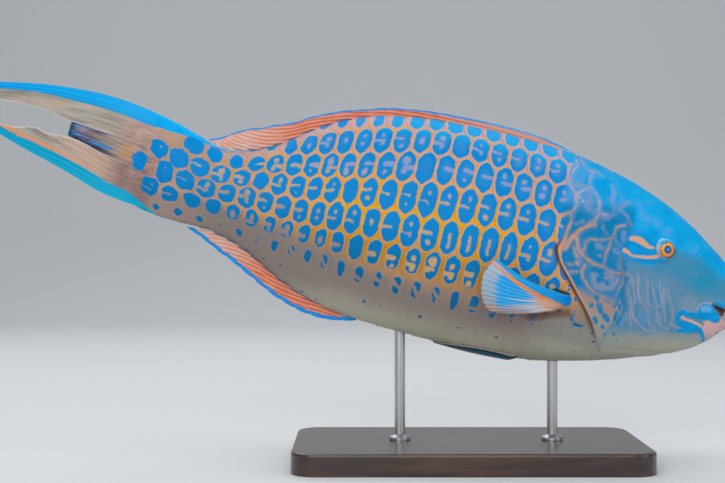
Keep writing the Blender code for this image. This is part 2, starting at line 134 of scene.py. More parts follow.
TAIL_LOWER_OUT = ((470, -38.9), (493, -35.6), (515, -29.2), (540, -22.6), (563, -17.2),
                  (587, -10.4), (612, -3.6))
TAIL_TIP = 634.0
# Name, node, outline, free end, side, blue margin, lean and scallop of each upright fin.
MEDIAN_FINS = (
    ("back_fin", "dorsal_fin", DORSAL, DORSAL_FREE, 1, 1.3, DORSAL_LEAN, 12.7),
    ("belly_fin", "anal_fin", ANAL, ANAL_FREE, -1, 2.9, ANAL_LEAN, 12.0),
)
# Name, node, inner and outer edge, part, number of rays and kind of fin of each tail part.
TAIL_PARTS = (
    ("tail_lobe_upper", "tail_fin_upper", TAIL_UPPER_IN, TAIL_UPPER_OUT, 1, 8, "blue_fin"),
    ("tail_rays_middle", "tail_fin_middle", TAIL_MIDDLE_IN, TAIL_MIDDLE_OUT, 0, 5,
     "salmon_fin"),
    ("tail_lobe_lower", "tail_fin_lower", TAIL_LOWER_IN, TAIL_LOWER_OUT, -1, 7,
     "salmon_fin"),
)
# Least half thickness of a fin's membrane.
THINNEST = 0.27
PECTORAL_ROOT = ((131.5, -25.5), (134.0, -37.0))
PECTORAL_LIFT = 2.0
PECTORAL_MARGIN = ((193, -12.5, 61), (198.5, -27, 59), (195.5, -41, 55),
                   (186, -50, 50), (174, -49, 47), (163, -44.5, 44.5))
PECTORAL_DROOP = 4.0
PECTORAL_BOW = 2.0
PELVIC_START = 151.0
PELVIC_LENGTH = 66.0
PELVIC_INNER = math.radians(5)
PELVIC_OUTER = math.radians(21)

# --- the scales' rows and columns --------------------------------------------------------
# Whole columns lie at these T; the rows between are half a column off.
COLUMNS = ((-6, 94), (-3, 138), (0, 183), (4, 239.8), (8, 296), (12, 348.4), (15, 392.6),
           (17, 427), (18, 445), (18.5, 452), (19, 467), (20, 489))
# Heights of the rows' middles along the body, and the rows' pitch above and below them.
ROWS = (
    (2, ((110, 40), (211, 43), (240, 42), (282, 34), (321, 24), (363, 16), (396, 12),
         (434, 17), (470, 20))),
    (3, ((110, 19), (191, 21), (248, 17), (302, 11), (341, 4), (370, 2), (400, -1),
         (434, 4), (452, 9), (470, 11))),
    (4, ((110, -4), (182, -4), (240, -8), (294, -10), (347, -14), (380, -12), (408, -14),
         (440, -10), (470, -5))),
    (5, ((110, -27), (191, -29), (247, -31), (302, -31), (369, -29.5), (403, -27),
         (451, -24), (470, -20))),
    (6, ((110, -50), (182, -51), (226, -50), (285, -49), (311, -45), (348, -43),
         (408, -38), (438, -38), (470, -36))),
)
PITCH_UP = ((110, 21), (300, 21), (350, 18.5), (400, 15), (470, 14))
PITCH_DOWN = ((110, 20), (240, 21), (303, 18), (330, 15), (400, 13), (470, 12))
FIRST_ROW = -1
LAST_ROW = 9
# Distances round the body at which the rows are tabled, and the steepest angle of a scale.
ARC_START = -130.0
ARC_STEP = 0.5
STEEPEST = math.radians(89.4)
# Width of a scale, and how fast it grows behind a T on the stalk.
SCALE_WIDTH = 14.2
WIDENING_START = 385.0
WIDENING = 0.085
# Height of a row for half a column, in an even mesh of six-sided scales.
ROW_GAP = 0.866
# The flank laid out flat: first T, length, lowest place round the body and girth.
MAP_START = 90
MAP_LENGTH = 400
MAP_LOWEST = -115
MAP_GIRTH = 220
# Foremost scales at each height: the gill edge low down, the nape higher up.
SCALES_FRONT = GILL_EDGE[:6] + ((14, 145), (22, 134), (30, 119), (42, 108), (80, 104))

# --- markings, as T and height -------------------------------------------------------------
# Each line: half width at its start, half width at its end, then its points.
EYE_STRIPES = (
    (1.6, 2.6, ((98, 25.4), (94.5, 26), (90.5, 25.4))),
    (2.6, 0.5, ((90.5, 25.4), (86.5, 23.6), (83.5, 22.6), (79, 22.9))),
    (1.6, 0.9, ((101, 15.8), (98, 15), (95, 13.4))),
    (0.9, 1.3, ((95, 13.4), (91.5, 13.6), (84.5, 14.6), (79, 16), (76, 17.4))),
)
LIPS = (
    (1.5, 2.0, ((49.8, -24), (50.2, -19.5), (47.2, -17), (43.5, -18.4), (39, -18.2))),
    (2.2, 2.4, ((39, -18.2), (34.5, -17), (30, -17), (25.5, -16.5), (21, -16.8))),
    (2.2, 1.8, ((33, -14.5), (27, -13.5), (23, -14.5))),
    (0.6, 0.7, ((35.5, -14.5), (35.3, -10), (31, -7.4), (27, -8.6))),
    (1.2, 1.2, ((27, -8.8), (23, -12.5), (18.6, -16.4))),
    (1.6, 3.0, ((49.8, -24), (49, -25.8), (45, -26.4), (41, -26.6))),
    (3.0, 1.9, ((41, -26.6), (36, -26.4), (31, -27.2))),
    (1.5, 1.2, ((46.3, -31), (41, -30.4), (35, -28.8))),
    (1.6, 1.2, ((31, -27.2), (27.5, -29.5), (25.3, -32), (24, -35))),
)
LIP_LOBE = ((32.8, -11.4), (30.5, -10.4), (29, -10.8))
LIP_OUTLINE = ((38, -13), (35.6, -9.4), (32, -7), (27.5, -6.4))
CHIN_PATCH = ((13, -19), (24, -22.5), (22, -28), (21, -33))
CHIN_STRIPE = ((46.5, -21.3), (41.5, -21.9), (36, -22.7), (30, -24.2))
# The slit over the root of the fin behind the gill cover, painted dark as shade, and the line of
# the painted shadow below the fin.
FIN_SLIT = ((148.5, -28), (144, -25.2), (139.5, -24.6), (133.5, -25.4))
FIN_SHADOW = ((130.5, -38.5), (138, -40.5), (149, -45), (157, -47.5))
PREOPERCLE = ((102, 9), (96, -5), (92, -19), (92, -32), (97, -46))
# Lines of the gill cover and the nape: half width at the start and the end, then the line.
HEAD_LINES = (
    (0.9, 1.4, ((152.5, 28), (146, 33), (143.5, 28.5), (145, 20), (146, 10), (147, 2.5))),
    (1.8, 1.4, ((143.5, 7), (140.5, 16), (136, 22), (131, 26.5), (126, 29))),
    (1.3, 0.8, ((138, 18), (134.5, 9), (129, 4), (121.5, 1), (113, 0.5), (105.5, -1.5),
                (94.5, -1))),
    (0.9, 0.9, ((113, 1.5), (114, 10), (112.5, 16.5), (112, 22))),
    (0.9, 0.9, ((112, 22), (120.5, 18.5), (127.5, 17.5), (130, 15), (130, 8))),
    (0.8, 0.8, ((138.5, -10), (128, -6.5), (126.5, -0.5))),
    (1.0, 0.8, ((128, -6.5), (126, -11), (121, -15.5), (116.5, -18.5), (110, -20),
                (101.5, -22))),
    (0.7, 0.7, ((110, -20), (109.5, -25.5), (117, -26.5))),
    (0.4, 0.5, ((119, -9), (114.5, -15), (108, -15), (103, -12), (100, -6.5), (101.5, -2))),
    (1.0, 0.7, ((110, -7.5), (105, -3))),
    (0.5, 0.5, ((98, -2), (96.5, -7.5), (98.5, -13), (99, -24), (98.5, -31))),
    (0.6, 1.2, ((135, 66.5), (135.5, 58), (134, 55.5), (143.5, 48))),
    (1.0, 0.9, ((134, 55.5), (127, 48), (124.5, 39.5), (126, 33), (130, 29))),
    (1.0, 0.4, ((143.5, 48), (135, 40), (130.5, 37), (124.5, 37.5), (114, 38.5))),
    (1.1, 1.0, ((145.5, 47.5), (142, 39), (145.5, 32.5))),
    (0.9, 1.0, ((147.5, 73), (146, 69), (151, 60), (150, 52), (144.5, 47.5))),
    (0.6, 0.3, ((144, 74), (141, 68), (135.5, 67), (131.5, 68), (126, 65.5))),
    (0.3, 0.3, ((119, 60.5), (117, 55.5), (117.5, 48.5), (114, 44), (109, 43.5), (104, 40.5),
                (100, 35))),
    (0.4, 0.3, ((121, 32), (120, 27.5), (116, 24))),
    (0.9, 0.3, ((104.5, 33.5), (110.5, 30.5), (111, 24.5), (107.5, 19.5), (101.5, 17))),
    (0.6, 0.4, ((100.5, 14.5), (103, 9), (102.5, 4), (100, 2), (94.5, -1))),
    (0.9, 0.9, ((150, 52), (155.5, 51.5), (151.5, 41.5), (154.5, 37))),
    (1.1, 0.9, ((137.5, 9), (136.5, 6), (134, 3.5))),
    (1.3, 1.5, ((133, -1), (132, -2))),
    (0.6, 0.7, ((138.5, -3.8), (134.5, -3.4))),
    (0.9, 0.9, ((118.5, 7.6), (117.7, 7.4))),
)
# Thin pale lines of the cheek, deep blue strokes round it, and soft violet patches.
CHEEK_LINES = (
    (0.5, 0.4, ((92, -5), (88.5, -9), (85.5, -15), (84, -20))),
    (0.4, 0.5, ((87, 1), (84.5, -10), (81, -15.5), (79.5, -18))),
    (0.5, 0.4, ((79, -2.5), (76.5, -11.5), (75.5, -16.5), (71, -18.5))),
    (0.4, 0.5, ((75.5, -2.5), (72, -10.5), (68.5, -15.5), (66.5, -22.5), (64, -29.5),
                (58.5, -31.5), (54, -31.5))),
    (0.3, 0.5, ((65.5, -4), (64, -10.5), (62, -17.5), (59.5, -24), (57.5, -28))),
    (0.3, 0.8, ((62.5, -4), (58, -13), (55, -18.5), (53.5, -24), (53.5, -28.5), (47, -29))),
    (0.5, 0.6, ((92.5, -10), (88.5, -16.5), (85.5, -23.5), (81.5, -30.5), (75.5, -34.5),
                (69, -37))),
    (0.4, 0.4, ((76.5, -19), (73, -23.5), (70.5, -30.5), (66.5, -33))),
    (0.5, 0.5, ((67, -17.5), (63.5, -17.5))),
)
BLUE_STROKES = (
    (1.7, 1.7, ((99.5, 6.5), (97.5, 3))),
    (1.5, 1.4, ((95.5, -2), (94.5, -5.5))),
    (1.6, 1.5, ((96, -8.5), (96.5, -14), (97.5, -18.5), (98.5, -25.5))),
    (1.5, 1.6, ((95.5, -13), (93, -20), (89.5, -23.5), (90, -28))),
    (1.5, 1.2, ((95.5, -29.5), (95.5, -35))),
    (1.4, 1.3, ((91.5, -32), (92.5, -37.5))),
    (1.3, 1.3, ((94.5, -24), (94, -26))),
    (0.9, 1.1, ((90, -7.5), (86.5, -16))),
    (1.0, 1.2, ((83.5, -5), (82.5, -9.5))),
    (1.0, 1.4, ((76.5, -6), (73.5, -15))),
    (1.1, 1.5, ((71, -7), (67, -16), (64, -20.5))),
    (1.0, 1.1, ((60.5, -13.5), (59.5, -19.5), (56.5, -25.5))),
    (1.5, 1.2, ((83, -21), (82, -23.5), (80.5, -28))),
    (1.3, 1.3, ((76.5, -31), (75.5, -32.5))),
    (1.1, 1.3, ((71.5, -32), (69.5, -35))),
    (1.0, 1.0, ((76, -37.5), (73.5, -37.5))),
    (1.3, 1.3, ((86, -35.5), (85.2, -35.5))),
    (1.3, 1.3, ((81.5, -37.5), (80.8, -37.7))),
    (1.0, 1.0, ((69.5, -39.5), (67.5, -38.5))),
    (1.0, 1.0, ((62.5, -31.5), (60, -32.5))),
    (1.6, 1.8, ((51.8, -32.4), (50.8, -32))),
    (1.1, 1.1, ((58, -28.6), (57.3, -28.4))),
    (1.1, 1.1, ((92.8, -45), (92.2, -45.2))),
    (1.8, 1.8, ((114.8, -28), (114.4, -28.6))),
    (2.2, 1.9, ((109.4, -27), (106.6, -31.6))),
    (1.9, 1.9, ((112.6, -22.2), (111.8, -22.8))),
    (1.7, 1.4, ((105.4, -21.6), (102.8, -22.4))),
    (2.2, 2.4, ((110, -38), (109.2, -39.4))),
    (2.0, 1.9, ((103, -34), (100.2, -36.4))),
    (1.3, 1.2, ((102.8, -41.6), (102, -42))),
    (0.8, 0.8, ((88.9, -49.2), (88.6, -49.5))),
    (0.8, 0.8, ((98.9, -46.4), (98.6, -46.7))),
    # behind the gill cover
    (1.5, 1.5, ((134, -21.4), (133.5, -22))),
    (1.7, 1.8, ((127.6, -26.6), (126.8, -27.6))),
    (1.1, 1.1, ((124.9, -35.8), (124.5, -36.2))),
    (1.2, 1.3, ((126.4, -40), (126, -42.4), (123.1, -45), (117.3, -45.6))),
    (1.1, 1.1, ((105.7, -54.4), (105, -54.6))),
    (0.9, 0.9, ((131.3, -41.6), (130.8, -41.8))),
    (2.2, 1.6, ((114.5, -9.4), (114, -9))),
    (1.3, 1.3, ((107.8, -11), (107.2, -10.6))),
    (1.8, 1.4, ((97, 9), (87, 10.8), (80, 12), (73, 13.5), (66.5, 16))),
)
PALE_PATCHES = (
    (1.8, 1.8, ((140, 26), (135, 29))),
    (2.4, 2.4, ((104, 28), (103, 23))),
    (2.8, 2.4, ((107, 14), (103.5, 13))),
    (2.4, 2.2, ((121, 14.5), (117.5, 13.5))),
    (3.3, 3.7, ((118.5, -7.5), (115, -13.5), (110, -14), (104.5, -12.5), (103.5, -7))),
    (1.6, 1.6, ((134.5, 8), (130, 0.5), (133.5, 2))),
    (2.0, 2.0, ((110.5, -3.5), (106.5, -1.5))),
    (2.6, 2.6, ((145.5, 53.5), (138.5, 54))),
    (3.2, 3.2, ((135, 50), (133, 42.5))),
    (1.4, 1.4, ((117.5, 58.5), (115, 50))),
    (2.0, 2.0, ((109.5, 46.5), (105.5, 50.5))),
    (2.6, 2.6, ((121, 36.5), (118, 36))),
)
# Where the spots begin: the gill edge, then up the shoulder.
SPOTS_FRONT = GILL_EDGE[:6] + ((14, 148), (30, 150), (48, 152), (80, 149))
# By T: the share of yellow in the net, the height down to which spots are whole, and the
# depth over which they fade below it.
YELLOW_SHARE = ((110, 0), (135, 0.5), (170, 0.75), (215, 1), (300, 1), (345, 0.6),
                (400, 0.45), (440, 0.35), (465, 0.1))
SPOTS_WHOLE = ((110, -16), (150, -19), (190, -22), (250, -22), (300, -21.5), (350, -21),
               (400, -21.5), (470, -21))
FADE_DEPTH = ((110, 38), (190, 42), (250, 42), (300, 36), (350, 31), (400, 18.5))
# T behind which the flank's folds are, T ahead of which the lips are, and their top.
HEAD_REAR = 116
LIPS_REAR = 62
CHIN_TOP = -19
# Far enough, in mm, to take a spot or a mark away.
AWAY = 9.0
NOSTRILS = ((45.3, 26.2), (41.4, 24.6))

# --- stage, in metres ----------------------------------------------------------------------
CAMERA_PLACE = (-0.0789, -1.0, 0.1646)
# Width of the view at one metre.
VIEW_WIDTH = 0.54375
LIGHTS_AIM = (-0.08, 0.0, 0.16)
# Name, place, size, power and colour.
LIGHTS = (
    ("soft_key", (-0.4, -1.7, 0.8), (1.8, 1.2), 15.5, (1.0, 0.98, 0.96)),
    ("soft_top", (-0.1, 0.1, 1.7), (2.2, 1.4), 14, (1.0, 1.0, 1.0)),
    ("soft_fill", (1.5, -0.9, 0.7), (1.2, 1.2), 5, (0.94, 0.97, 1.0)),
    ("soft_back", (-0.4, 1.3, 1.3), (1.6, 0.8), 6, (0.96, 0.98, 1.0)),
)


def srgb(red, green, blue):
    """Linear colour of a colour given as screen values from 0 to 255."""
    return tuple(value / 255 / 12.92 if value <= 10 else ((value / 255 + 0.055) / 1.055) ** 2.4
                 for value in (red, green, blue))


def shade(name, red, green, blue):
    return FloatVectorProperty(name=name, description=name + " of the fish or its stand",
                               subtype="COLOR", size=3, min=0, max=1,
                               default=srgb(red, green, blue))


def length(name, words, millimetres):
    return FloatProperty(name=name, description=words, unit="LENGTH", precision=5, min=0,
                         default=millimetres * MM)


class ParrotfishSizes(bpy.types.PropertyGroup):
    """Sizes of the skin's and the scales' relief."""
    scale_lift: length("Scale lift", "Height of a scale's rear edge over the body", 0.45)
    scale_thickness: length("Scale thickness", "Thickness of one scale", 0.38)
    skin_depth: length("Skin depth", "Depth of the skin under the scales", 0.55)
    fold_height: length("Gill fold", "Height of the gill cover's rear edge", 1.0)
    eye_rim: length("Eye rim", "Height of the rim of skin round the eye", 0.8)
    lip_bulge: length("Lip bulge", "Height of the lips over the head", 1.1)
    ray_relief: FloatProperty(name="Ray relief", description="Share of a fin's thickness "
                              "that its rays stand out", min=0, max=0.6, default=0.3)
    skin_columns: IntProperty(name="Skin columns", description="Points round the skin",
                              min=64, max=320, default=300)


class ParrotfishColours(bpy.types.PropertyGroup):
    """Colours of the fish and of its stand."""
    spot: shade("Spot blue", 0, 134, 206)
    spot_violet: shade("Spot violet", 90, 148, 206)
    spot_low: shade("Low spot blue", 0, 98, 144)
    net: shade("Net salmon", 222, 160, 110)
    net_pale: shade("Net edge", 200, 166, 156)
    net_yellow: shade("Net yellow", 230, 164, 10)
    net_low: shade("Low net ochre", 164, 112, 34)
    mark: shade("Pale mark", 180, 166, 190)
    mark_yellow: shade("Yellow mark", 196, 168, 124)
    belly: shade("Belly grey", 136, 125, 119)
    # Pale keel grey, lightened further as painted light from below on the keel, throat and chin
    keel_and_light_from_below: shade("Keel grey", 184, 182, 164)
    forehead: shade("Forehead blue", 0, 164, 226)
    snout: shade("Snout green", 64, 140, 176)
    teal: shade("Snout teal", 6, 140, 182)
    opercle: shade("Gill cover blue", 0, 125, 178)
    violet_grey: shade("Violet grey", 84, 138, 182)
    cheek: shade("Cheek grey", 92, 139, 168)
    chin: shade("Chin grey", 150, 156, 150)
    lips: shade("Lip blue", 0, 158, 222)
    lips_deep: shade("Lip deep blue", 0, 132, 196)
    # Painted highlight on the lip's lobe by the mouth's corner
    lip_lobe_highlight: shade("Lip pale blue", 96, 180, 228)
    # Near black blue: painted shade in the slit over the pectoral fin, between the belly and the
    # pelvic fins, on the tail's middle rays and on the eyeball's front, and also the fish's own
    # darkest blue round the pupil and at the tail's middle tips
    deep: shade("Deep slit", 4, 40, 58)
    lip_pink: shade("Lip pink", 206, 168, 168)
    line: shade("Head line", 176, 148, 136)
    # Dark brown: painted shade in creases, behind the gill cover and under the pectoral fin, and
    # also the brown of fine lines, the mouth and the iris ring
    fold: shade("Fold brown", 104, 76, 66)
    fin_tan: shade("Tail root tan", 196, 148, 88)
    fin_red: shade("Fin streak", 210, 100, 64)
    fin_salmon: shade("Fin salmon", 226, 158, 130)
    fin_blue: shade("Fin blue", 0, 140, 222)
    tail_blue: shade("Tail blue", 0, 168, 238)
    tail_teal: shade("Tail teal", 0, 166, 206)
    tail_web: shade("Tail membrane", 176, 171, 158)
    tail_dark: shade("Tail shadow", 92, 60, 76)
    fin_orange: shade("Fin orange", 246, 150, 70)
    fin_mist: shade("Fin fringe", 158, 180, 198)
    fin_white: shade("Fin white", 206, 204, 206)
    iris: shade("Iris orange", 240, 158, 10)
    eye_blue: shade("Eye blue", 0, 178, 248)
    iris_dark: shade("Iris ring", 132, 78, 80)
    pupil: shade("Pupil blue", 0, 54, 142)
    tooth: shade("Tooth plate", 226, 214, 200)
    mouth: shade("Mouth lining", 120, 66, 62)
    wood: shade("Wood", 70, 42, 26)
    wood_dark: shade("Wood grain", 34, 19, 12)
    steel: shade("Steel", 196, 197, 200)
    floor: shade("Floor", 222, 224, 226)


# --- curves and the body's surface ---------------------------------------------------------
def smooth(knots, x):
    """Curve through (x, value) knots, with no overshoot between them, at an array of x."""
    xs, ys = np.array(knots, float).T
    step = np.diff(xs)
    slope = np.diff(ys) / step
    tangent = np.concatenate((slope[:1], np.zeros(len(xs) - 2), slope[-1:]))
    for i in range(1, len(xs) - 1):
        if slope[i - 1] * slope[i] > 0:
            a, b = 2 * step[i] + step[i - 1], step[i] + 2 * step[i - 1]
            tangent[i] = (a + b) / (a / slope[i - 1] + b / slope[i])
    x = np.clip(np.asarray(x, float), xs[0], xs[-1])
    i = np.clip(np.searchsorted(xs, x) - 1, 0, len(step) - 1)
    u = (x - xs[i]) / step[i]
    return ((1 + 2 * u) * (1 - u) ** 2 * ys[i] + u * (1 - u) ** 2 * step[i] * tangent[i]
            + u * u * (3 - 2 * u) * ys[i + 1] + u * u * (u - 1) * step[i] * tangent[i + 1])


def ease(x, low, high):
    """0 at low, 1 at high, with soft ends."""
    share = np.clip((np.asarray(x, float) - low) / (high - low), 0, 1)
    return share * share * (3 - 2 * share)


def bell(x, width):
    """1 at 0, falling off to both sides."""
    return np.exp(-(x / width) ** 2)


def stations(t):
    return tuple(smooth([(row[0], row[k]) for row in STATIONS], t) for k in (1, 2, 3, 4))


def body(t, angle):
    """Points of the body's surface: angle 0 at the left, 90 degrees on the back."""
    top, bottom, half, middle = stations(t)
    sine, cosine = np.sin(angle), np.cos(angle)
    power = 2 / np.where(sine > 0, ROUND_UP, ROUND_DOWN)
    height = np.where(sine > 0, top - middle, middle - bottom)
    return np.stack((-t, half * np.sign(cosine) * np.abs(cosine) ** power,
                     middle + height * np.sign(sine) * np.abs(sine) ** power), -1)


def unit(vectors):
    return vectors / np.linalg.norm(vectors, axis=-1, keepdims=True)


def body_normal(t, angle):
    along = body(t + 0.5, angle) - body(t - 0.5, angle)
    around = body(t, angle + 0.01) - body(t, angle - 0.01)
    return unit(np.cross(along, around))


def angle_at(t, height):
    """Angle, from -90 to 90 degrees, of the body's point at T and a height."""
    top, bottom, _, middle = stations(t)
    up = height > middle
    reach = np.where(up, top - middle, middle - bottom)
    share = np.clip(np.abs(height - middle) / reach, 0, 1)
    angle = np.arcsin(share ** (np.where(up, ROUND_UP, ROUND_DOWN) / 2))
    return np.where(up, angle, -angle)


def tail_sink(t, angle):
    """How far the skin draws in over the fin's root at the end of the stalk, in mm."""
    return (1.9 * ease(t, 450, 470) * np.abs(np.cos(angle))
            + 1.3 * ease(t, 457, 469) * np.abs(np.sin(angle)) ** 4)


def gill_t(angle):
    t = np.full(np.shape(angle), 130.0)
    for _ in range(12):
        t = smooth(GILL_EDGE, body(t, angle)[..., 2])
    return t


def pose(points):
    """Straight body in mm to the bent and pitched fish in the frame, in metres."""
    x, y, z = (np.asarray(points, float)[..., k] * MM for k in range(3))
    heading = np.maximum(-x - BEND_START, 0) / BEND_RADIUS
    bent = -x > BEND_START
    ahead = np.where(bent, -BEND_START - (BEND_RADIUS - y) * np.sin(heading), x)
    left = np.where(bent, BEND_RADIUS - (BEND_RADIUS - y) * np.cos(heading), y)
    return np.stack((ahead * math.cos(NOSE_DOWN) + z * math.sin(NOSE_DOWN) + SNOUT_X, left,
                     z * math.cos(NOSE_DOWN) - ahead * math.sin(NOSE_DOWN) + SNOUT_Z), -1)


def unpose(points):
    """Back from the frame, in metres, to the straight body, in mm."""
    x, z = points[..., 0] - SNOUT_X, points[..., 2] - SNOUT_Z
    ahead = x * math.cos(NOSE_DOWN) - z * math.sin(NOSE_DOWN)
    height = z * math.cos(NOSE_DOWN) + x * math.sin(NOSE_DOWN)
    left = points[..., 1]
    bent = ahead < -BEND_START
    heading = np.arctan2(-ahead - BEND_START, BEND_RADIUS - left)
    reach = np.hypot(-ahead - BEND_START, BEND_RADIUS - left)
    return np.stack((np.where(bent, -BEND_START - BEND_RADIUS * heading, ahead),
                     np.where(bent, BEND_RADIUS - reach, left), height), -1) / MM


def angle_of(points):
    """Angle round the body of straight points near its surface."""
    top, bottom, half, middle = stations(-points[..., 0])
    over = points[..., 2] > middle
    reach = np.where(over, top - middle, bottom - middle)
    power = np.where(over, ROUND_UP, ROUND_DOWN) / 2
    sine = np.abs((points[..., 2] - middle) / reach) ** power
    cosine = np.abs(points[..., 1] / half) ** power
    return np.arctan2(np.where(over, sine, -sine), np.where(points[..., 1] > 0, cosine, -cosine))


def line_place(t, z, line):
    """Distance from a line of (T, height) points, and the share of the way along it."""
    corners = np.array(line, float)
    lengths = np.linalg.norm(np.diff(corners, axis=0), axis=1)
    starts = np.concatenate(([0], np.cumsum(lengths)))
    best, along = np.full(np.shape(t), 1e9), np.zeros(np.shape(t))
    for i, size in enumerate(lengths):
        dt, dz = (corners[i + 1] - corners[i]) / size
        reach = np.clip((t - corners[i, 0]) * dt + (z - corners[i, 1]) * dz, 0, size)
        gap = np.hypot(t - corners[i, 0] - reach * dt, z - corners[i, 1] - reach * dz)
        nearer = gap < best
        best = np.where(nearer, gap, best)
        along = np.where(nearer, (starts[i] + reach) / starts[-1], along)
    return best, along


def off_line(t, z, line):
    return line_place(t, z, line)[0]


def line_gap(t, z, lines):
    """Distance outside the nearest of several lines that have widths of their own."""
    nearest = np.full(np.shape(t), 99.0)
    for first, last, line in lines:
        gap, share = line_place(t, z, line)
        nearest = np.minimum(nearest, gap - first - (last - first) * share)
    return nearest


# --- the rows of scales, by T and the distance round the body ---------------------------
def table(values, origin, step, x, y):
    """Value at (x, y) in a table, given where its rows and columns start and their steps."""
    a, b = (np.clip((place - start) / gap, 0, size - 1.001)
            for place, start, gap, size in zip((x, y), origin, step, values.shape))
    i, j = a.astype(int), b.astype(int)
    a, b = a - i, b - j
    return ((values[i, j] * (1 - b) + values[i, j + 1] * b) * (1 - a)
            + (values[i + 1, j] * (1 - b) + values[i + 1, j + 1] * b) * a)


class Lattice:
    """Rows and columns of scales on the body, by T and the distance round it."""

    def __init__(self):
        self.t = np.arange(0.0, 490.0, 1.0)
        turn = np.radians(np.arange(-90.0, 90.1, 0.5))
        points = body(np.repeat(self.t[:, None], len(turn), 1), turn[None, :])
        steps = np.linalg.norm(np.diff(points[..., 1:], axis=1), axis=-1)
        arc = np.concatenate((np.zeros((len(self.t), 1)), np.cumsum(steps, axis=1)), 1)
        widest = len(turn) // 2
        self.arc = arc - arc[:, widest:widest + 1]
        self.rows = np.arange(FIRST_ROW - 2, LAST_ROW + 3.0)
        self.row_arc = self.row_arcs()
        arcs = np.arange(ARC_START, 110.0, ARC_STEP)
        self.row, self.pitch, self.turn = np.empty((3, len(self.t), len(arcs)))
        for i, falling in enumerate(self.row_arc):
            self.row[i] = np.interp(-arcs, -falling, self.rows)
            gap = -np.diff(falling)
            place = np.clip(np.floor(self.row[i] - self.rows[0]).astype(int), 0, len(gap) - 1)
            self.pitch[i] = gap[place]
            self.turn[i] = np.interp(arcs, self.arc[i], turn)

    def row_arcs(self):
        """Distance round the body of each row's middle, for each T."""
        listed = {row: self.arc_at(self.t, angle_at(self.t, smooth(curve, self.t)))
                  for row, curve in ROWS}
        first, last = min(listed), max(listed)
        up, down = smooth(PITCH_UP, self.t), smooth(PITCH_DOWN, self.t)
        columns = []
        for row in self.rows:
            if row < first:
                columns.append(listed[first] + up * (first - row))
            elif row > last:
                columns.append(listed[last] - down * (row - last))
            else:
                columns.append(listed[int(row)])
        return np.stack(columns, 1)

    def arc_at(self, t, angle):
        """Distance round the body from its widest point, upwards."""
        return table(self.arc, (0, -90), (1, 0.5), t, np.degrees(angle))

    def look(self, values, t, arc):
        return table(values, (0, ARC_START), (1, ARC_STEP), t, arc)

    def place(self, t, arc):
        """Column, row and row pitch at T and a distance round the body."""
        swapped = [(place, column) for column, place in COLUMNS]
        return smooth(swapped, t), self.look(self.row, t, arc), self.look(self.pitch, t, arc)

    def point(self, column, row):
        """T and distance round the body of a column and row."""
        t = smooth(COLUMNS, column)
        return t, table(self.row_arc, (0, self.rows[0]), (1, 1), t, row)


LATTICE = Lattice()


# --- meshes ------------------------------------------------------------------------------
def store(mesh, name, *columns):
    """Keeps three numbers for each point of a mesh."""
    values = np.stack([np.broadcast_to(c, np.shape(columns[0])).ravel() for c in columns], 1)
    layer = mesh.attributes.new(name, "FLOAT_VECTOR", "POINT")
    layer.data.foreach_set("vector", values.astype(np.float32).ravel())


def turn_outwards(mesh, weld=False):
    """Turns all faces outwards, with points that meet joined first if asked."""
    work = bmesh.new()
    work.from_mesh(mesh)
    if weld:
        bmesh.ops.remove_doubles(work, verts=work.verts, dist=1e-6)
    bmesh.ops.recalc_face_normals(work, faces=work.faces)
    work.to_mesh(mesh)
    work.free()


def new_piece(name, points, faces, finish, sharp=None):
    """Object from straight points in mm and faces; the points are posed."""
    mesh = bpy.data.meshes.new(name)
    mesh.from_pydata(pose(np.asarray(points).reshape(-1, 3)).tolist(), [], faces)
    turn_outwards(mesh)
    mesh.shade_smooth()
    if sharp:
        mesh.set_sharp_from_angle(angle=math.radians(sharp))
    mesh.materials.append(finish)
    made = bpy.data.objects.new(name, mesh)
    bpy.context.scene.collection.objects.link(made)
    return made


def settle(made, slot, *replaced):
    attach(made, "root")
    if replaced:
        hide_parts(*replaced)


def ring_faces(rings, sides):
    """Faces of a tube of closed rings of points."""
    index = np.arange(rings * sides).reshape(rings, sides)
    after = np.roll(index, -1, axis=1)
    return np.stack((index[:-1], index[1:], after[1:], after[:-1]), -1).reshape(-1, 4).tolist()


def shell_faces(rows, columns, start=0):
    """Faces of two equal grids of points, one after the other, closed round the rim."""
    index = np.arange(start, start + rows * columns).reshape(rows, columns)
    side = np.stack((index[:-1, :-1], index[:-1, 1:], index[1:, 1:], index[1:, :-1]), -1)
    side = side.reshape(-1, 4)
    rim = np.concatenate((index[0], index[1:, -1], index[-1, -2::-1], index[-2:0:-1, 0]))
    after = np.roll(rim, -1)
    strip = np.stack((rim, rim + index.size, after + index.size, after), 1)
    return np.concatenate((side, side[:, ::-1] + index.size, strip)).tolist()


def shell(name, sides, finish, sharp, fields):
    """Closed piece between two equal grids of points, with the same fields on both."""
    shape = sides[0].shape[:2]
    made = new_piece(name, np.stack(sides), shell_faces(*shape), finish, sharp)
    for field, values in fields.items():
        store(made.data, field,
              *(np.tile(np.broadcast_to(value, shape).ravel(), 2) for value in values))
    return made


def sheet(name, middle, half, finish, fields, slot, node):
    """Closed sheet of a thickness round a grid of middle points, such as a fin."""
    across = np.cross(np.gradient(middle, axis=1), np.gradient(middle, axis=0))
    offset = unit(across) * half[..., None]
    made = shell(name, (middle + offset, middle - offset), finish, 70, fields)
    settle(made, slot, node)


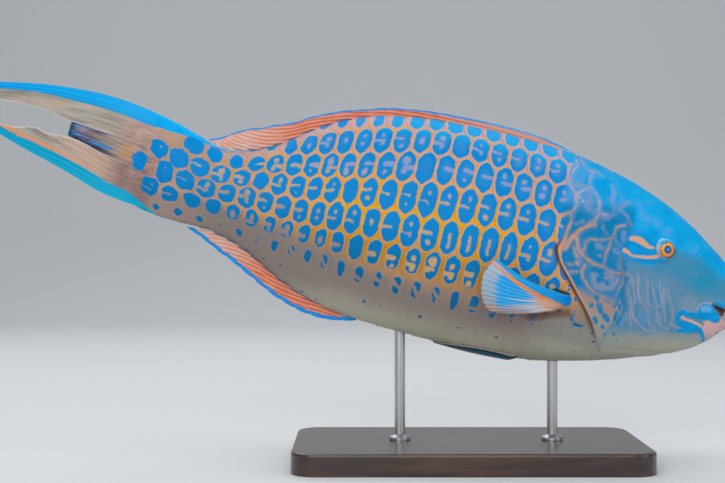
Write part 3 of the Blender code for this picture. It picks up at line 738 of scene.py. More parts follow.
def body_fields(mesh, t, angle, points):
    """Keeps each point's place on the body and its distance from lines of markings and painted
    shade.
    """
    z = points[..., 2]
    folded = np.where(np.cos(angle) < 0, math.pi - angle, angle)
    arc = LATTICE.arc_at(t, (folded + math.pi) % (2 * math.pi) - math.pi)
    top, bottom, _, _ = stations(t)
    warm = smooth(YELLOW_SHARE, t) * (1 - ease(z, 10, 50)) * ease(z, -58, -28)
    fade = np.clip((smooth(SPOTS_WHOLE, t) - z) / smooth(FADE_DEPTH, t), 0, 1)
    behind = t > HEAD_REAR
    stripe = np.where(behind, off_line(t, z, FIN_SLIT), line_gap(t, z, EYE_STRIPES))
    # behind the gill cover the patch is the painted shadow under the pectoral fin; ahead of it,
    # the chin patch
    patch = np.where(behind, off_line(t, z, FIN_SHADOW), off_line(t, z, CHIN_PATCH))
    crease = np.where(t < LIPS_REAR, off_line(t, z, LIP_OUTLINE), off_line(t, z, PREOPERCLE))
    chin = off_line(t, z, CHIN_STRIPE)
    lobe = np.where(z > CHIN_TOP, np.minimum(off_line(t, z, LIP_LOBE), chin + 40), chin)
    fields = {
        "place": (t, z, points[..., 1]),
        "lattice": LATTICE.place(t, arc),
        "zones": (t - smooth(SPOTS_FRONT, z), warm, fade),
        "marks": (stripe, line_gap(t, z, LIPS), patch),
        "folds": (t - smooth(GILL_EDGE, z), crease, line_gap(t, z, HEAD_LINES)),
        "rims": (top - z, z - bottom, lobe),
        "strokes": [line_gap(t, z, lines) for lines in (CHEEK_LINES, BLUE_STROKES, PALE_PATCHES)],
    }
    for name, values in fields.items():
        store(mesh, name, *values)
    return arc


# --- node trees --------------------------------------------------------------------------
def arithmetic(operation, swapped=False):
    """Method that adds one Math node for a Number and another value."""

    def method(self, other):
        return self.graph.math(operation, *((other, self) if swapped else (self, other)))

    return method


class Number:
    """A number that a node tree works out: arithmetic on it adds Math nodes."""
    __add__ = __radd__ = arithmetic("ADD")
    __sub__ = arithmetic("SUBTRACT")
    __rsub__ = arithmetic("SUBTRACT", swapped=True)
    __mul__ = __rmul__ = arithmetic("MULTIPLY")
    __truediv__ = arithmetic("DIVIDE")
    __rtruediv__ = arithmetic("DIVIDE", swapped=True)
    __lt__ = arithmetic("LESS_THAN")
    __gt__ = arithmetic("GREATER_THAN")

    def __init__(self, graph, socket):
        self.graph = graph
        self.socket = socket

    def __neg__(self):
        return self * -1

    def __abs__(self):
        return self.graph.math("ABSOLUTE", self)


class Graph:
    """Adds nodes to a tree and links them."""

    def __init__(self, tree):
        self.tree = tree

    def feed(self, socket, value):
        if isinstance(value, Number):
            value = value.socket
        if isinstance(value, bpy.types.NodeSocket):
            self.tree.links.new(value, socket)
        elif socket.type == "RGBA":
            socket.default_value = (*value, 1)
        else:
            socket.default_value = value

    def node(self, kind, inputs=None, **settings):
        made = self.tree.nodes.new("ShaderNode" + kind)
        for name, value in settings.items():
            setattr(made, name, value)
        for name, value in (inputs or {}).items():
            self.feed(made.inputs[name], value)
        return made

    def math(self, operation, *values):
        made = self.node("Math", dict(enumerate(values)), operation=operation)
        return Number(self, made.outputs[0])

    def chain(self, operation, first, *rest):
        for value in rest:
            first = self.math(operation, first, value)
        return first

    def smallest(self, *values):
        return self.chain("MINIMUM", *values)

    def largest(self, *values):
        return self.chain("MAXIMUM", *values)

    def clip(self, value, low, high):
        return self.smallest(self.largest(value, low), high)

    def span(self, x, y):
        return self.math("SQRT", x * x + y * y)

    def rays(self, count):
        """Wave with its crests on the fin's rays, which the count numbers."""
        return self.math("COSINE", count * (2 * math.pi))

    def ramp(self, value, low, high):
        """0 at low and 1 at high, with soft ends."""
        made = self.node("MapRange", {"Value": value, "From Min": low, "From Max": high},
                         interpolation_type="SMOOTHSTEP")
        return Number(self, made.outputs["Result"])

    def mix(self, share, first, second):
        made = self.node("Mix", {0: share, 6: first, 7: second}, data_type="RGBA")
        return made.outputs[2]

    def paint(self, colour, *layers):
        """Lays colours over a first one, each by its share."""
        for share, layer in layers:
            colour = self.mix(share, colour, layer)
        return colour

    def split(self, vector):
        made = self.node("SeparateXYZ", {0: vector})
        return tuple(Number(self, made.outputs[k]) for k in range(3))

    def join(self, x, y, z=0.0):
        return self.node("CombineXYZ", {0: x, 1: y, 2: z}).outputs[0]

    def field(self, name):
        return self.node("Attribute", attribute_name=name).outputs["Vector"]

    def parts(self, name):
        """The three numbers of a field that the mesh keeps."""
        return self.split(self.field(name))

    def position(self):
        return self.node("TexCoord").outputs["Object"]

    def noise(self, vector, size, detail=2.0, rough=0.5, warp=0.0):
        """Noise of a feature size in the vector's own unit: one number round 0.5."""
        made = self.node("TexNoise", {"Vector": vector, "Scale": 1 / size, "Detail": detail,
                                      "Roughness": rough, "Distortion": warp})
        return Number(self, made.outputs[0])

    def ripple(self, vector, size, detail=2.0):
        """Noise round 0."""
        return self.noise(vector, size, detail) - 0.5


class Finish(Graph):
    """Node tree of a new material, with the plain settings of its shader."""

    def __init__(self, name, roughness, coat=0.0, metallic=0.0, specular=0.2):
        self.material = bpy.data.materials.new(name)
        self.material.use_nodes = True
        super().__init__(self.material.node_tree)
        self.shader = self.tree.nodes["Principled BSDF"].inputs
        self.shader["Roughness"].default_value = roughness
        self.shader["Metallic"].default_value = metallic
        self.shader["Coat Weight"].default_value = coat
        self.shader["Coat Roughness"].default_value = 0.25
        self.shader["Specular IOR Level"].default_value = specular

    def done(self, colour, height=None, strength=0.3, distance=0.0004):
        """Feeds the shader its colour and fine relief, and gives the material."""
        self.feed(self.shader["Base Color"], colour)
        if height is not None:
            relief = self.node("Bump", {"Height": height, "Strength": strength,
                                        "Distance": distance})
            self.feed(self.shader["Normal"], relief.outputs[0])
        return self.material


def palette(context):
    """The panel's colours by name, as plain numbers."""
    chosen = context.scene.parrotfish_colours
    return SimpleNamespace(**{name: tuple(getattr(chosen, name))
                              for name in chosen.__annotations__})


# --- markings of the skin and the scales ---------------------------------------------------
def tail_root(g, c, t, z):
    """Mottled colour of the tail's root, on the stalk and on the fin, and its one blue spot."""
    mottled = g.noise(g.join(t * 0.35, z), 4.5, detail=3.0)
    streaks = g.ripple(g.join(t * 0.05, z), 1.3, detail=3.0)
    dusky = g.ramp(z + (mottled - 0.5) * 50.0, 22.0, -26.0)
    warm = g.ramp(g.span((t - 479.0) * 0.6, z + 1.0) + mottled * 8.0, 13.0, 5.0)
    blob = g.span((t - 467.5) * 0.9, (z + 5.0) * 0.75) + (mottled - 0.5) * 6.0
    colour = g.paint(
        c.line,
        (g.ramp(mottled, 0.38, 0.62) * 0.8, c.net_pale),
        (g.ramp(streaks, 0.0, 0.2) * 0.5, c.belly),
        (dusky * 0.55, g.mix(mottled, c.tail_dark, c.fold)),
        (warm * 0.7, c.fin_tan))
    return colour, g.ramp(blob, 6.0, 5.4)


def nearest_scale(g, u, v):
    """Column and row of the scale that a place among the rows and columns lies on."""

    def candidate(offset):
        column = g.math("ROUND", u - offset) + offset
        row = g.math("ROUND", (v - 2 * offset) * 0.5) * 2 + 2 * offset
        across, down = u - column, (v - row) * ROW_GAP
        return column, row, across * across + down * down

    column_a, row_a, far_a = candidate(0.0)
    column_b, row_b, far_b = candidate(0.5)
    first = far_a < far_b
    return column_b + first * (column_a - column_b), row_b + first * (row_a - row_b)


def pale_marks(g, x, h, pitch, two, three, kind):
    """Distance from a spot's pale mark: holes and strokes, open towards the rear."""

    def only(value, low, high):
        return value + ((kind < low) + (kind > high)) * AWAY

    def hole(height, radius, squash):
        return g.span(x, (h - pitch * height) * squash) - radius

    def stroke(height, drop, radius):
        low = h - pitch * height
        bar = g.span(x - g.clip(x, -0.4, 8.0), low)
        return g.smallest(bar, g.span(x + 0.4, low - g.clip(low, -drop, 0.0))) - radius

    hooked = g.ramp(three, 0.55, 0.6) * 3.0
    nine = g.smallest(hole(0.2, 0.8 + two * 1.3, 0.75), stroke(-0.05, hooked, 1.05))
    three_mark = g.smallest(hole(-0.24, three * 1.9, 0.8), stroke(0.06, 0.0, 1.1))
    eight = g.smallest(hole(0.17, 0.9 + three * 0.9, 0.8), hole(-0.14, 1.4, 0.9))
    ring = hole(0.02, 1.1 + two, 0.6)
    slit = g.span(x, h - g.clip(h, pitch * -0.26, pitch * 0.12)) - 0.95
    return g.smallest(only(nine, 0.05, 0.47), only(stroke(0.0, 0.0, 1.0), 0.47, 0.6),
                      only(three_mark, 0.6, 0.77), only(eight, 0.77, 0.87),
                      only(ring, 0.87, 0.94), only(slit, 0.94, 0.98))


def scale_spots(g, c, place, t, z, y):
    """Colour of the scaled flank, with a blue spot on each scale, and where the spots are."""
    u, v, pitch = g.parts("lattice")
    _, warm, fade = g.parts("zones")
    over, under, _ = g.parts("rims")
    column, row = nearest_scale(g, u, v)
    dice = g.node("TexWhiteNoise", {"Vector": g.join(column, row, y > 0.0)},
                  noise_dimensions="3D")
    one, two, three = g.split(dice.outputs["Color"])
    four = Number(g, dice.outputs["Value"])
    wobble_x = g.ripple(place, 7.0) * 3.4
    shifted = g.node("VectorMath", {0: place, 1: (57.0, 23.0, 0.0)}, operation="ADD").outputs[0]
    wobble_y = g.ripple(shifted, 7.0) * 4.6

    # the spot's outline: six sides with soft corners, round the scale's middle
    width = g.largest(t - WIDENING_START, 0.0) * WIDENING + SCALE_WIDTH
    half = width * 0.5
    x, h = (u - column) * width, (row - v) * pitch
    home_t, home_z = t - x, z - h
    blunt = g.math("SQRT", x * x + 4.5)
    sloping = ((half * pitch * (2 / 3) - pitch * (1 / 3) * blunt - half * abs(h))
               / g.math("SQRT", pitch * pitch * (1 / 9) + half * half))
    edge = g.math("SMOOTH_MIN", half - abs(x) - fade * 1.2, sloping + 0.5, 3.6)
    lowest = home_z < -40.0
    x = x + wobble_x + lowest * h * (one - 0.5) * 0.9
    h = h + wobble_y

    # how broad the net is round it
    stalk = g.ramp(t, 392.0, 425.0)
    top_row = g.ramp(over, 14.0, 4.0) * (1.0 - stalk)
    rim = (1.1 + fade * 3.5 + (one - 0.5) * 0.6 + g.ripple(place, 5.0) * 2.4 + warm * 0.15
           + g.ramp(z, -10.0, -26.0) * 0.1 + top_row * (0.5 + 1.9 * g.ramp(t, 250.0, 310.0))
           + stalk * (g.ripple(place, 8.0) * 4.4 + 0.1))
    ahead_row = abs(row - 2.0) < 0.3
    dropped = (g.ramp(fade + (three - 0.5) * 0.3, 0.8, 0.86)
               + (column + ahead_row * 1.3 > 18.7) * AWAY
               + g.ramp(t, 141.0, 138.0) * g.ramp(z, -19.0, -22.0) * AWAY)

    # low spots are bitten into from the rear, end in a narrow tail, and some are cut in two
    lowness = g.ramp(fade, 0.08, 0.3)
    bite = 3.4 + lowness * (two * 1.4 - 3.2) - g.span(x - half * 0.8, (h + pitch * 0.16) * 0.75)
    cut = abs(h - x * (two - 0.5) * 2.6 - (one - 0.5) * 3.4) - 0.9 - two * 1.1
    cut = cut + (1.0 - lowest + (three < 0.45)) * AWAY
    inset = g.smallest(edge - rim - dropped * 1.2, -(bite * lowness + lowness * 0.6) + 0.6, cut)

    # loose dots under the fade, and the blue strokes behind the gill cover
    dot = 0.5 + one * 0.8 - g.span(x + wobble_y, h - pitch * 0.1) - g.ramp(three, 0.4, 0.3) * AWAY
    dot = dot - g.ramp(z, -74.0, -79.0) * AWAY - g.ramp(fade, 0.72, 0.6) * AWAY
    _, stroke_gap, _ = g.parts("strokes")
    bits = g.ripple(place, 4.0) * 1.5 - stroke_gap - (t < 104.0) * AWAY
    inset = g.largest(inset, dot, bits)

    # the pale marks are of a kind picked at random, but mostly slits low behind the root of
    # the pectoral fin, and small ones further back; in one row they open towards the head
    slits = (g.span((home_t - 208.0) * 0.5, home_z - 4.0) < 14.0) * (three > 0.2)
    quiet = g.span((home_t - 250.0) * 1.3, home_z - 5.0) < 18.0
    x = x * (1.0 - 2.0 * ahead_row)
    holes = pale_marks(g, x, h, pitch, two, three, four + slits * (0.96 - four))
    holes = holes + g.ripple(place, 3.5) * 1.3 - ahead_row * 0.5
    holes = g.smallest(holes + g.ramp(t, 398.0, 452.0) * 1.5,
                       g.span(x, h) + 9.0 - stalk * (7.4 + three * 2.2))
    holes = (holes + g.ramp(over, 13.0, 9.0) * AWAY + quiet * 0.7
             - g.ramp(home_z, -16.0, -24.0) * 0.6)
    mark = g.ramp(holes, 0.65, -0.5) * g.ramp(fade, 0.5, 0.3)

    ahead = g.ramp(t, 250.0, 150.0)
    rear = g.ramp(t, 245.0, 300.0)
    glow = g.ramp(g.span(x, h * 0.55), 6.0, 1.0)
    pale = g.paint(
        c.mark,
        (g.ramp(z, 36.0, 14.0), c.mark_yellow),
        (g.ramp(z, 0.0, -24.0) * (0.4 + 0.35 * rear), g.mix(rear, c.net_yellow, c.belly)))
    blue = g.paint(
        c.spot,
        (g.ramp(z, 6.0, -64.0), c.spot_low),
        ((g.ramp(z, 22.0, 46.0) * 0.4 + ahead * 0.42) * glow * (0.2 + 0.8 * two), c.spot_violet),
        (g.ramp(over, 18.0, 10.0) * g.ramp(t, 330.0, 270.0) * 0.8, c.forehead),
        (mark * (0.52 + 0.33 * g.ramp(z, 36.0, 12.0)), pale))

    # the net: salmon with pale edges, yellow along the middle and grey under the belly
    core = g.ramp(inset, -0.25, -1.15 + warm * 0.25)
    net = g.paint(
        c.net,
        (g.noise(place, 9.0) * 0.4 + ahead * 0.25, c.line),
        (warm * g.ramp(g.noise(place, 30.0), 0.15, 0.45), c.net_yellow),
        (warm * g.ramp(z, -6.0, -30.0) * 0.65, c.net_low))
    net = g.mix(core * (0.85 - warm * 0.35) + 0.15 + warm * 0.35, c.net_pale, net)
    patchy = g.ripple(place, 7.0) * 7.0
    low = fade + (g.ripple(place, 26.0) * 0.3 + patchy * 0.05 - 0.04)
    throat = g.ramp(t, 170.0, 112.0)
    root, blob = tail_root(g, c, t, z)
    # slit and fold: distances from the painted shade in the slit over the pectoral fin's root and
    # from the painted shadow under the fin
    slit, _, fold = g.parts("marks")
    gap, _, _ = g.parts("folds")
    near = t > 117.0
    # painted shade on the flank just behind the gill cover's edge
    shade_in = g.ramp(gap, 4.6, 0.8) * g.ramp(z, -58.0, -44.0) * g.ramp(z, 16.0, 4.0)
    spot = g.ramp(inset, -0.3, 0.35) * g.ramp(t, 461.5, 460.5)
    top_band = g.ramp(t, 404.0, 476.0) * 10.8 + g.ramp(t, 380.0, 398.0) * 1.4 - 0.8
    low_band = g.ramp(t, 436.0, 474.0) * 8.8 - 0.6
    colour = g.paint(
        net,
        (g.ramp(over, 12.0, 2.0) * 0.6, c.mark),
        (g.ramp(t, 200.0, 165.0) * g.ramp(z, 44.0, 66.0) * 0.6, c.mark),
        (g.ramp(low + g.ramp(t, 250.0, 420.0) * 0.4, 0.1, 0.7), c.belly),
        # pale keel grey along the bottom, partly painted light from below
        (g.ramp(z + g.ripple(place, 30.0) * 8.0, -56.0, -86.0), c.keel_and_light_from_below),
        (g.ramp(t, 385.0, 450.0) * 0.5, c.line),
        (throat * g.ramp(z, -36.0, -56.0) * 0.7, c.chin),
        # painted light from below on the throat
        (throat * g.ramp(z, -54.0, -66.0) * 0.8, c.keel_and_light_from_below),
        (g.ramp(t + patchy, 444.0, 463.0), root),
        (spot + blob, g.mix(blob, blue, c.spot)),
        # painted shadow under the pectoral fin, and painted shade in the slit over its root
        (g.ramp(fold + wobble_y * 0.8, 5.0, 0.8) * near * 0.75, c.fold),
        (g.ramp(slit + wobble_x * 0.4, 2.6, 1.0) * near * 0.9, c.deep),
        # painted shade behind the gill cover's edge
        (shade_in * 0.6, c.fold),
        # the tail's outer bands begin on the stalk
        (g.ramp(over - top_band + patchy * 0.5, 0.5, -0.5), c.tail_blue),
        (g.ramp(under - low_band + patchy * 0.3, 0.5, -0.5), c.tail_teal))
    return colour, spot


def head_colours(g, c, place, t, z):
    """Colour of the head: blue over grey, with lines, stripes and lip bands."""
    stripe, lip, patch = g.parts("marks")
    gill, crease, web = g.parts("folds")
    thin, stroke, patch_gap = g.parts("strokes")
    _, _, lobe = g.parts("rims")
    drift = g.ripple(place, 22.0) * 14.0
    fine = g.ripple(place, 3.0)
    ragged = fine * 1.6 + g.ripple(place, 6.0) * 1.8
    cloud = g.noise(place, 15.0, detail=4.0, rough=0.6)

    # blue forehead, green snout and grey cheek and chin, softly patched
    bound = 25.5 - g.ramp(t, 62.0, 84.0) * 16.0 - g.ramp(t, 50.0, 22.0) * 12.0
    teal = g.ramp(g.span(t - 38.0, (z - 12.0) * 1.2), 17.0, 6.0)
    misty = g.ramp(cloud, 0.5, 0.7) * g.ramp(z, 66.0, 50.0) * g.ramp(z, 2.0, 20.0)
    blush = g.ramp(g.span(t - 44.0, (z + 12.0) * 1.1), 12.0, 3.0)
    ground = g.paint(
        c.forehead,
        (g.ramp(z + drift * 0.5 - bound, 4.0, -4.0), c.snout),
        (teal * 0.7, c.teal),
        (g.ramp(z + drift * 0.7 - g.ramp(t, 48.0, 66.0) * 9.0, 4.0, -7.0), c.cheek),
        (g.ramp(z + drift * 0.4 + t * 0.2, -19.0, -30.0), c.chin),
        (g.ramp(z - t * 0.5, 22.0, 34.0) * 0.5, c.tail_blue),
        (misty * 0.16, c.mark),
        (g.ramp(cloud, 0.5, 0.34) * g.ramp(z, 14.0, 28.0) * 0.4, c.spot),
        (blush * 0.2, c.mark))

    # the gill cover and the cheek: blue and tan, under soft patches, strokes and thin lines
    start = 98.0 - g.ramp(z, 5.0, -15.0) * 5.0 + g.ramp(z, -25.0, -45.0) * 6.0
    cover = g.ramp(t - start + drift * 0.5, -2.5, 2.5) * g.ramp(z, 60.0, 34.0)
    blue = g.paint(
        c.opercle,
        (g.ramp(cloud, 0.48, 0.7) * 0.4, c.violet_grey),
        (g.ramp(z + t * 0.2, 64.0, 76.0) * 0.7, c.tail_blue))
    shoulder = g.ramp(t, 104.0, 128.0) * g.ramp(z, 30.0, 42.0)
    violet = g.mix(fine + 0.4, c.violet_grey, c.mark)
    dull = g.mix(g.ramp(z, -26.0, -42.0) * 0.8, g.mix(0.35, c.line, c.belly), c.chin)
    cheek = (g.ramp(t, 56.0, 66.0) * g.ramp(t, 101.0, 94.0) * g.ramp(z, 9.0, -4.0)
             * g.ramp(z, -46.0, -34.0))
    fibres = g.noise(g.join(t - z * 0.4 + drift * 0.3, z * 0.12), 2.4)
    bold = 0.32 + 0.6 * g.ramp(t, 86.0, 93.0) * g.ramp(z, 10.0, 2.0)
    grey_line = g.mix(g.ramp(t, 84.0, 94.0), g.mix(0.45, c.line, c.mark), c.line)
    ground = g.paint(
        ground,
        (cover, blue),
        (shoulder * g.ramp(cloud, 0.4, 0.6) * 0.5, c.spot_violet),
        (g.ramp(patch_gap + ragged, 0.8, -1.4) * 0.55, violet),
        (cover * g.ramp(z + drift * 0.5, -17.0, -26.0), dull),
        (cheek * g.ramp(fibres, 0.46, 0.62) * 0.42, c.spot_violet),
        (cheek * g.ramp(fibres, 0.48, 0.36) * 0.36, c.mark),
        (g.ramp(stroke + ragged * 0.7, 0.6, -0.5) * bold, c.opercle),
        (g.ramp(thin + ragged * 0.6, 0.9, -0.5) * 0.4, grey_line))

    # the network of lines, and the stripes behind the eye on a deeper blue
    web = web + fine * 1.5 + g.ripple(place, 8.0) * 2.2
    tint = g.paint(
        c.line,
        (0.25, c.belly),
        (g.ramp(z, 26.0, 42.0) * 0.85, c.mark),
        (g.ramp(t, 116.0, 142.0) * g.ramp(z, 34.0, 20.0) * 0.5, c.net))
    bare = g.ramp(t, 104.0, 96.0) * g.ramp(z, 12.0, 16.0) * AWAY
    # the lower cheek and chin go towards the pale keel grey, partly painted light from below
    hem = g.ramp(z + drift * 0.2 + t * 0.35, -14.0, -30.0) * g.ramp(z, -30.0, -42.0)
    ground = g.paint(
        ground,
        (g.ramp(web, 2.2, 0.0) * 0.2, tint),
        (g.ramp(web + bare, 0.3, -0.7) * 0.88, tint),
        (hem * 0.55, c.keel_and_light_from_below),
        (g.ramp(stripe, 5.5, 2.0) * g.ramp(z, 8.0, 12.0) * 0.6, c.spot),
        (g.ramp(stripe + fine * 1.2, 0.5, -0.4), g.mix(0.45, c.net, c.net_pale)))

    # lips: a lobe with a painted highlight, deep blue bands and a salmon stripe, over a pink chin
    front, upper = g.ramp(t, 64.0, 58.0), g.ramp(z, -20.0, -18.0)
    mottled = g.mix(g.ramp(z + cloud * 8.0, -22.0, -29.0) * 0.6, c.lip_pink, c.chin)
    lips = g.mix(g.ramp(g.noise(place, 4.0), 0.35, 0.6) * 0.6, c.lips, c.lips_deep)
    over_lip = g.ramp(t, 26.0, 22.0) * g.ramp(z, -9.5, -8.0) * g.ramp(z - t * 0.1, -4.2, -5.6)
    shadow = g.ramp(crease, 2.4, 0.6) * g.ramp(z, -46.0, -30.0) * (1.0 - front)
    low_edge = g.ramp(z, -54.0, -38.0) * g.ramp(z, 14.0, 6.0)
    return g.paint(
        ground,
        (g.ramp(patch + fine * 4.0, 6.6, 4.6) * front, mottled),
        (g.ramp(crease + fine, 1.4, 0.5) * front * 0.5, c.mark),
        (g.ramp(lip + fine * 2.2, 0.4, -0.4) * front, lips),
        # painted highlight on the lip's lobe
        (g.ramp(lobe + fine * 1.4, 3.2, 1.4) * front * upper * 0.8, c.lip_lobe_highlight),
        (g.ramp(lobe + ragged * 0.7, 1.4, 0.6) * front * (1.0 - upper),
         g.mix(0.75, c.net, c.lip_pink)),
        (over_lip * 0.85, c.lips),
        (shadow * 0.15, c.fold),
        # the gill cover's rear edge: a tan rim, then painted shade along the edge
        (g.ramp(gill + fine * 1.5, -3.6, -2.6) * low_edge * 0.8,
         g.mix(g.ramp(z, -20.0, -34.0), c.net, c.line)),
        (g.ramp(gill + fine * 0.6, -1.7, -1.0) * low_edge, c.fold),
        (g.ramp(gill, -0.4, 0.2) * low_edge * 0.2, c.net))


def body_markings(c):
    """Node group of the body's colour and fine relief, shared by the skin and the scales."""
    tree = bpy.data.node_groups.new("Body markings", "ShaderNodeTree")
    for label, kind in (("Color", "Color"), ("Height", "Float")):
        tree.interface.new_socket(label, in_out="OUTPUT", socket_type="NodeSocket" + kind)
    out = tree.nodes.new("NodeGroupOutput")
    g = Graph(tree)
    place = g.field("place")
    t, z, y = g.split(place)
    behind, _, _ = g.parts("zones")
    flank, spot = scale_spots(g, c, place, t, z, y)
    head = head_colours(g, c, place, t, z)
    nape = g.ramp(z, 22.0, 34.0)
    scaled = g.ramp(behind, -0.5 - nape * 2.0, 0.5 + nape * 2.0)
    g.feed(out.inputs["Color"], g.mix(scaled, head, flank))
    g.feed(out.inputs["Height"], g.noise(place, 1.3, detail=3.0, rough=0.6) + spot * 0.3)
    return tree


def body_material(context, name, roughness, coat):
    """Material of the skin or the scales, coloured by the one group."""
    g = Finish(name, roughness, coat, specular=0.05)
    marks = g.tree.nodes.new("ShaderNodeGroup")
    marks.node_tree = (bpy.data.node_groups.get("Body markings")
                       or body_markings(palette(context)))
    return g.done(marks.outputs["Color"], marks.outputs["Height"], 0.25)


# --- skin ----------------------------------------------------------------------------------
def even_angles(count):
    """Angles round the body, from the belly, evenly apart along its section."""
    turn = np.linspace(-math.pi / 2, 3 * math.pi / 2, 2881)
    ring = body(np.full(turn.shape, 150.0), turn)
    run = np.concatenate(([0], np.cumsum(np.linalg.norm(np.diff(ring, axis=0), axis=1))))
    return np.interp(np.arange(count) / count * run[-1], run, turn)


def eye_place(side):
    """Centre, axis, up and across of an eye, in straight millimetres."""
    axis = unit(np.array(EYE_AXIS))
    centre = body(EYE_T, angle_at(EYE_T, EYE_Z)) - axis * EYE_SUNK
    flip = np.array((1, side, 1))
    centre, axis = centre * flip, axis * flip
    up = unit(np.array((0, 0, 1.0)) - axis * axis[2])
    return centre, axis, up, np.cross(axis, up)


def eye_relief(points, z, rim):
    """Rim of skin round the eye, the hollow that it lies in and the brow over it."""
    mirrored = points * np.where(points[..., 1:2] < 0, (1, -1, 1), 1)
    centre, axis, _, _ = eye_place(1)
    away = mirrored - centre
    r = np.linalg.norm(away - (away @ axis)[..., None] * axis, axis=-1)
    first, last, lowest = EYE_REGION
    near = (points[..., 0] < -first) & (points[..., 0] > -last) & (z > lowest)
    return np.where(near, rim * bell(r - 8.7, 1.1) - 0.45 * bell(r - 11.6, 1.5)
                    - 3.0 * ease(-r, -7.7, -6.6) + 0.5 * bell(r - 14.5, 2.5) * ease(z, 26, 36), 0)


def mouth_relief(t, z, bulge):
    """Lips that stand out round the mouth, with the bands and the lobe on them."""
    edge = np.minimum(off_line(t, z, MOUTH[:3]), off_line(t, z, MOUTH[:1] + MOUTH[:2:-1]))
    band = line_gap(t, z, LIPS)
    return (bulge * ease(-t, -44, -26) * (bell(edge - 3.0, 2.2) - 1.6 * bell(edge, 1.0))
            + 0.45 * (1 - ease(band, -1.5, 1.0)) - 0.2 * bell(band - 1.6, 1.0)
            + 0.7 * bell(off_line(t, z, LIP_LOBE), 3.2))


def skin_relief(sizes, t, angle, points, gill):
    """How far the skin stands off the solid body, in mm, folds and rims included."""
    z = points[..., 2]
    behind_gill = t - gill
    behind = t - smooth(SCALES_FRONT, z)
    sink_length = 4 + 34 * (ease(z, 28, 48) + ease(-z, 44, 58))
    lift = -0.12 - (sizes.skin_depth / MM - 0.12) * ease(behind, -2, sink_length)
    flap = (0.15 + 0.85 * ease(z, -56, -36)) * ease(z, -72, -50) * (1 - ease(z, 10, 24))
    lift = lift + flap * np.where(behind_gill <= 0.01,
                                  sizes.fold_height / MM * np.exp(np.minimum(behind_gill, 0) / 7),
                                  -0.9 * np.exp(-np.maximum(behind_gill, 0) / 5))
    lift = lift - tail_sink(t, angle)
    lift = lift - 0.7 * bell(off_line(t, z, PREOPERCLE), 2.2) * ease(z, -50, -40)
    lift = lift + eye_relief(points, z, sizes.eye_rim / MM)
    for hole_t, hole_z in NOSTRILS:
        gap = np.hypot(t - hole_t, z - hole_z)
        lift = lift - 1.1 * bell(gap, 0.95) + 0.35 * bell(gap - 2.0, 0.7)
    lift = lift + mouth_relief(t, z, sizes.lip_bulge / MM)
    lift = lift - 1.6 * bell(off_line(t, z, FIN_SLIT), 1.3) * (behind_gill > 0)
    for height, start, stop in THROAT_FOLDS:
        line = height - 0.12 * (t - start)
        lift = lift - (0.5 * bell(z - line, 1.6) * ease(t, start, start + 14)
                       * (1 - ease(t, stop - 12, stop)))
    ripple = (np.sin(t * 0.31 + z * 0.13) * np.sin(z * 0.27 - t * 0.11)
              + 0.6 * np.sin(t * 0.73 + 1.3) * np.sin(z * 0.61 + 0.4))
    return lift + 0.09 * ripple * (1 - ease(behind, -4, 2))


def end_cap(ring, forward, shares):
    """Rings that close an end of the skin, and the point that they close on."""
    middle = ring.mean(0)
    rings = [middle + (ring - middle) * share + (forward * (1 - share ** 3), 0, 0)
             for share in shares]
    return rings, middle + (forward, 0, 0)


def build_skin(context):
    sizes = context.scene.parrotfish_sizes
    count = sizes.skin_columns
    angles = even_angles(count)
    gill = gill_t(angles)
    front = 1.0 + FRONT_SLANT * (1 - np.sin(angles)) / 2
    rear = gill + 0.3
    t = np.concatenate((front + (gill - front) * np.linspace(0, 1, HEAD_ROWS)[:, None],
                        rear + (STALK_END - rear) * np.linspace(0, 1, TRUNK_ROWS)[:, None]))
    angle = np.broadcast_to(angles, t.shape)
    points = body(t, angle)
    lift = skin_relief(sizes, t, angle, points, gill)
    points = points + body_normal(t, angle) * lift[..., None]

    nose, nose_tip = end_cap(points[0], 1.0, (0.25, 0.55, 0.8, 0.94))
    stalk, stalk_tip = end_cap(points[-1], -0.2, (0.5,))
    grid = np.concatenate((nose, points, stalk))
    faces = ring_faces(len(grid), count)
    tip, last = len(grid) * count, (len(grid) - 1) * count
    after = [(j + 1) % count for j in range(count)]
    faces += [(tip, j, after[j]) for j in range(count)]
    faces += [(tip + 1, last + after[j], last + j) for j in range(count)]
    flat = np.concatenate((grid.reshape(-1, 3), (nose_tip, stalk_tip)))
    return new_piece("skin", flat, faces, body_material(context, "Wet skin", 0.45, 0.03), 65)


def open_mouth(context, skin):
    """Cuts the mouth into the skin and lines it."""
    width = 40
    wedge = [(-t, y, z) for y in (-width, width) for t, z in MOUTH]
    count = len(MOUTH)
    faces = [tuple(range(count)), tuple(range(2 * count - 1, count - 1, -1))]
    faces += [(i, count + i, count + (i + 1) % count, (i + 1) % count) for i in range(count)]
    lining = mouth_material(context)
    cutter = new_piece("mouth_cut", wedge, faces, lining)
    skin.data.materials.append(lining)
    modifier = skin.modifiers.new("Mouth", "BOOLEAN")
    modifier.operation = "DIFFERENCE"
    modifier.solver = "EXACT"
    modifier.material_mode = "TRANSFER"
    modifier.object = cutter
    context.view_layer.update()
    cut = bpy.data.meshes.new_from_object(skin.evaluated_get(context.evaluated_depsgraph_get()))
    skin.modifiers.clear()
    skin.data = cut
    bpy.data.objects.remove(cutter)
    if len(cut.polygons) < 1000:
        raise RuntimeError("the mouth could not be cut into the skin")
    corners = np.empty(len(cut.vertices) * 3)
    cut.vertices.foreach_get("co", corners)
    straight = unpose(corners.reshape(-1, 3))
    body_fields(cut, -straight[:, 0], angle_of(straight), straight)


def mouth_material(context):
    c = palette(context)
    g = Finish("Mouth lining", 0.4, coat=0.3)
    tint = g.noise(g.position(), 0.004, detail=3.0)
    return g.done(g.mix(tint, c.mouth, c.fold), tint, distance=0.0005)


def ball_angles(rings, sides):
    """Angles from a ball's pole and round it, for a grid of its points."""
    polar = math.pi * np.arange(rings + 1)[:, None] / rings
    turn = 2 * math.pi * np.arange(sides)[None, :] / sides
    return np.broadcast_arrays(polar, turn)


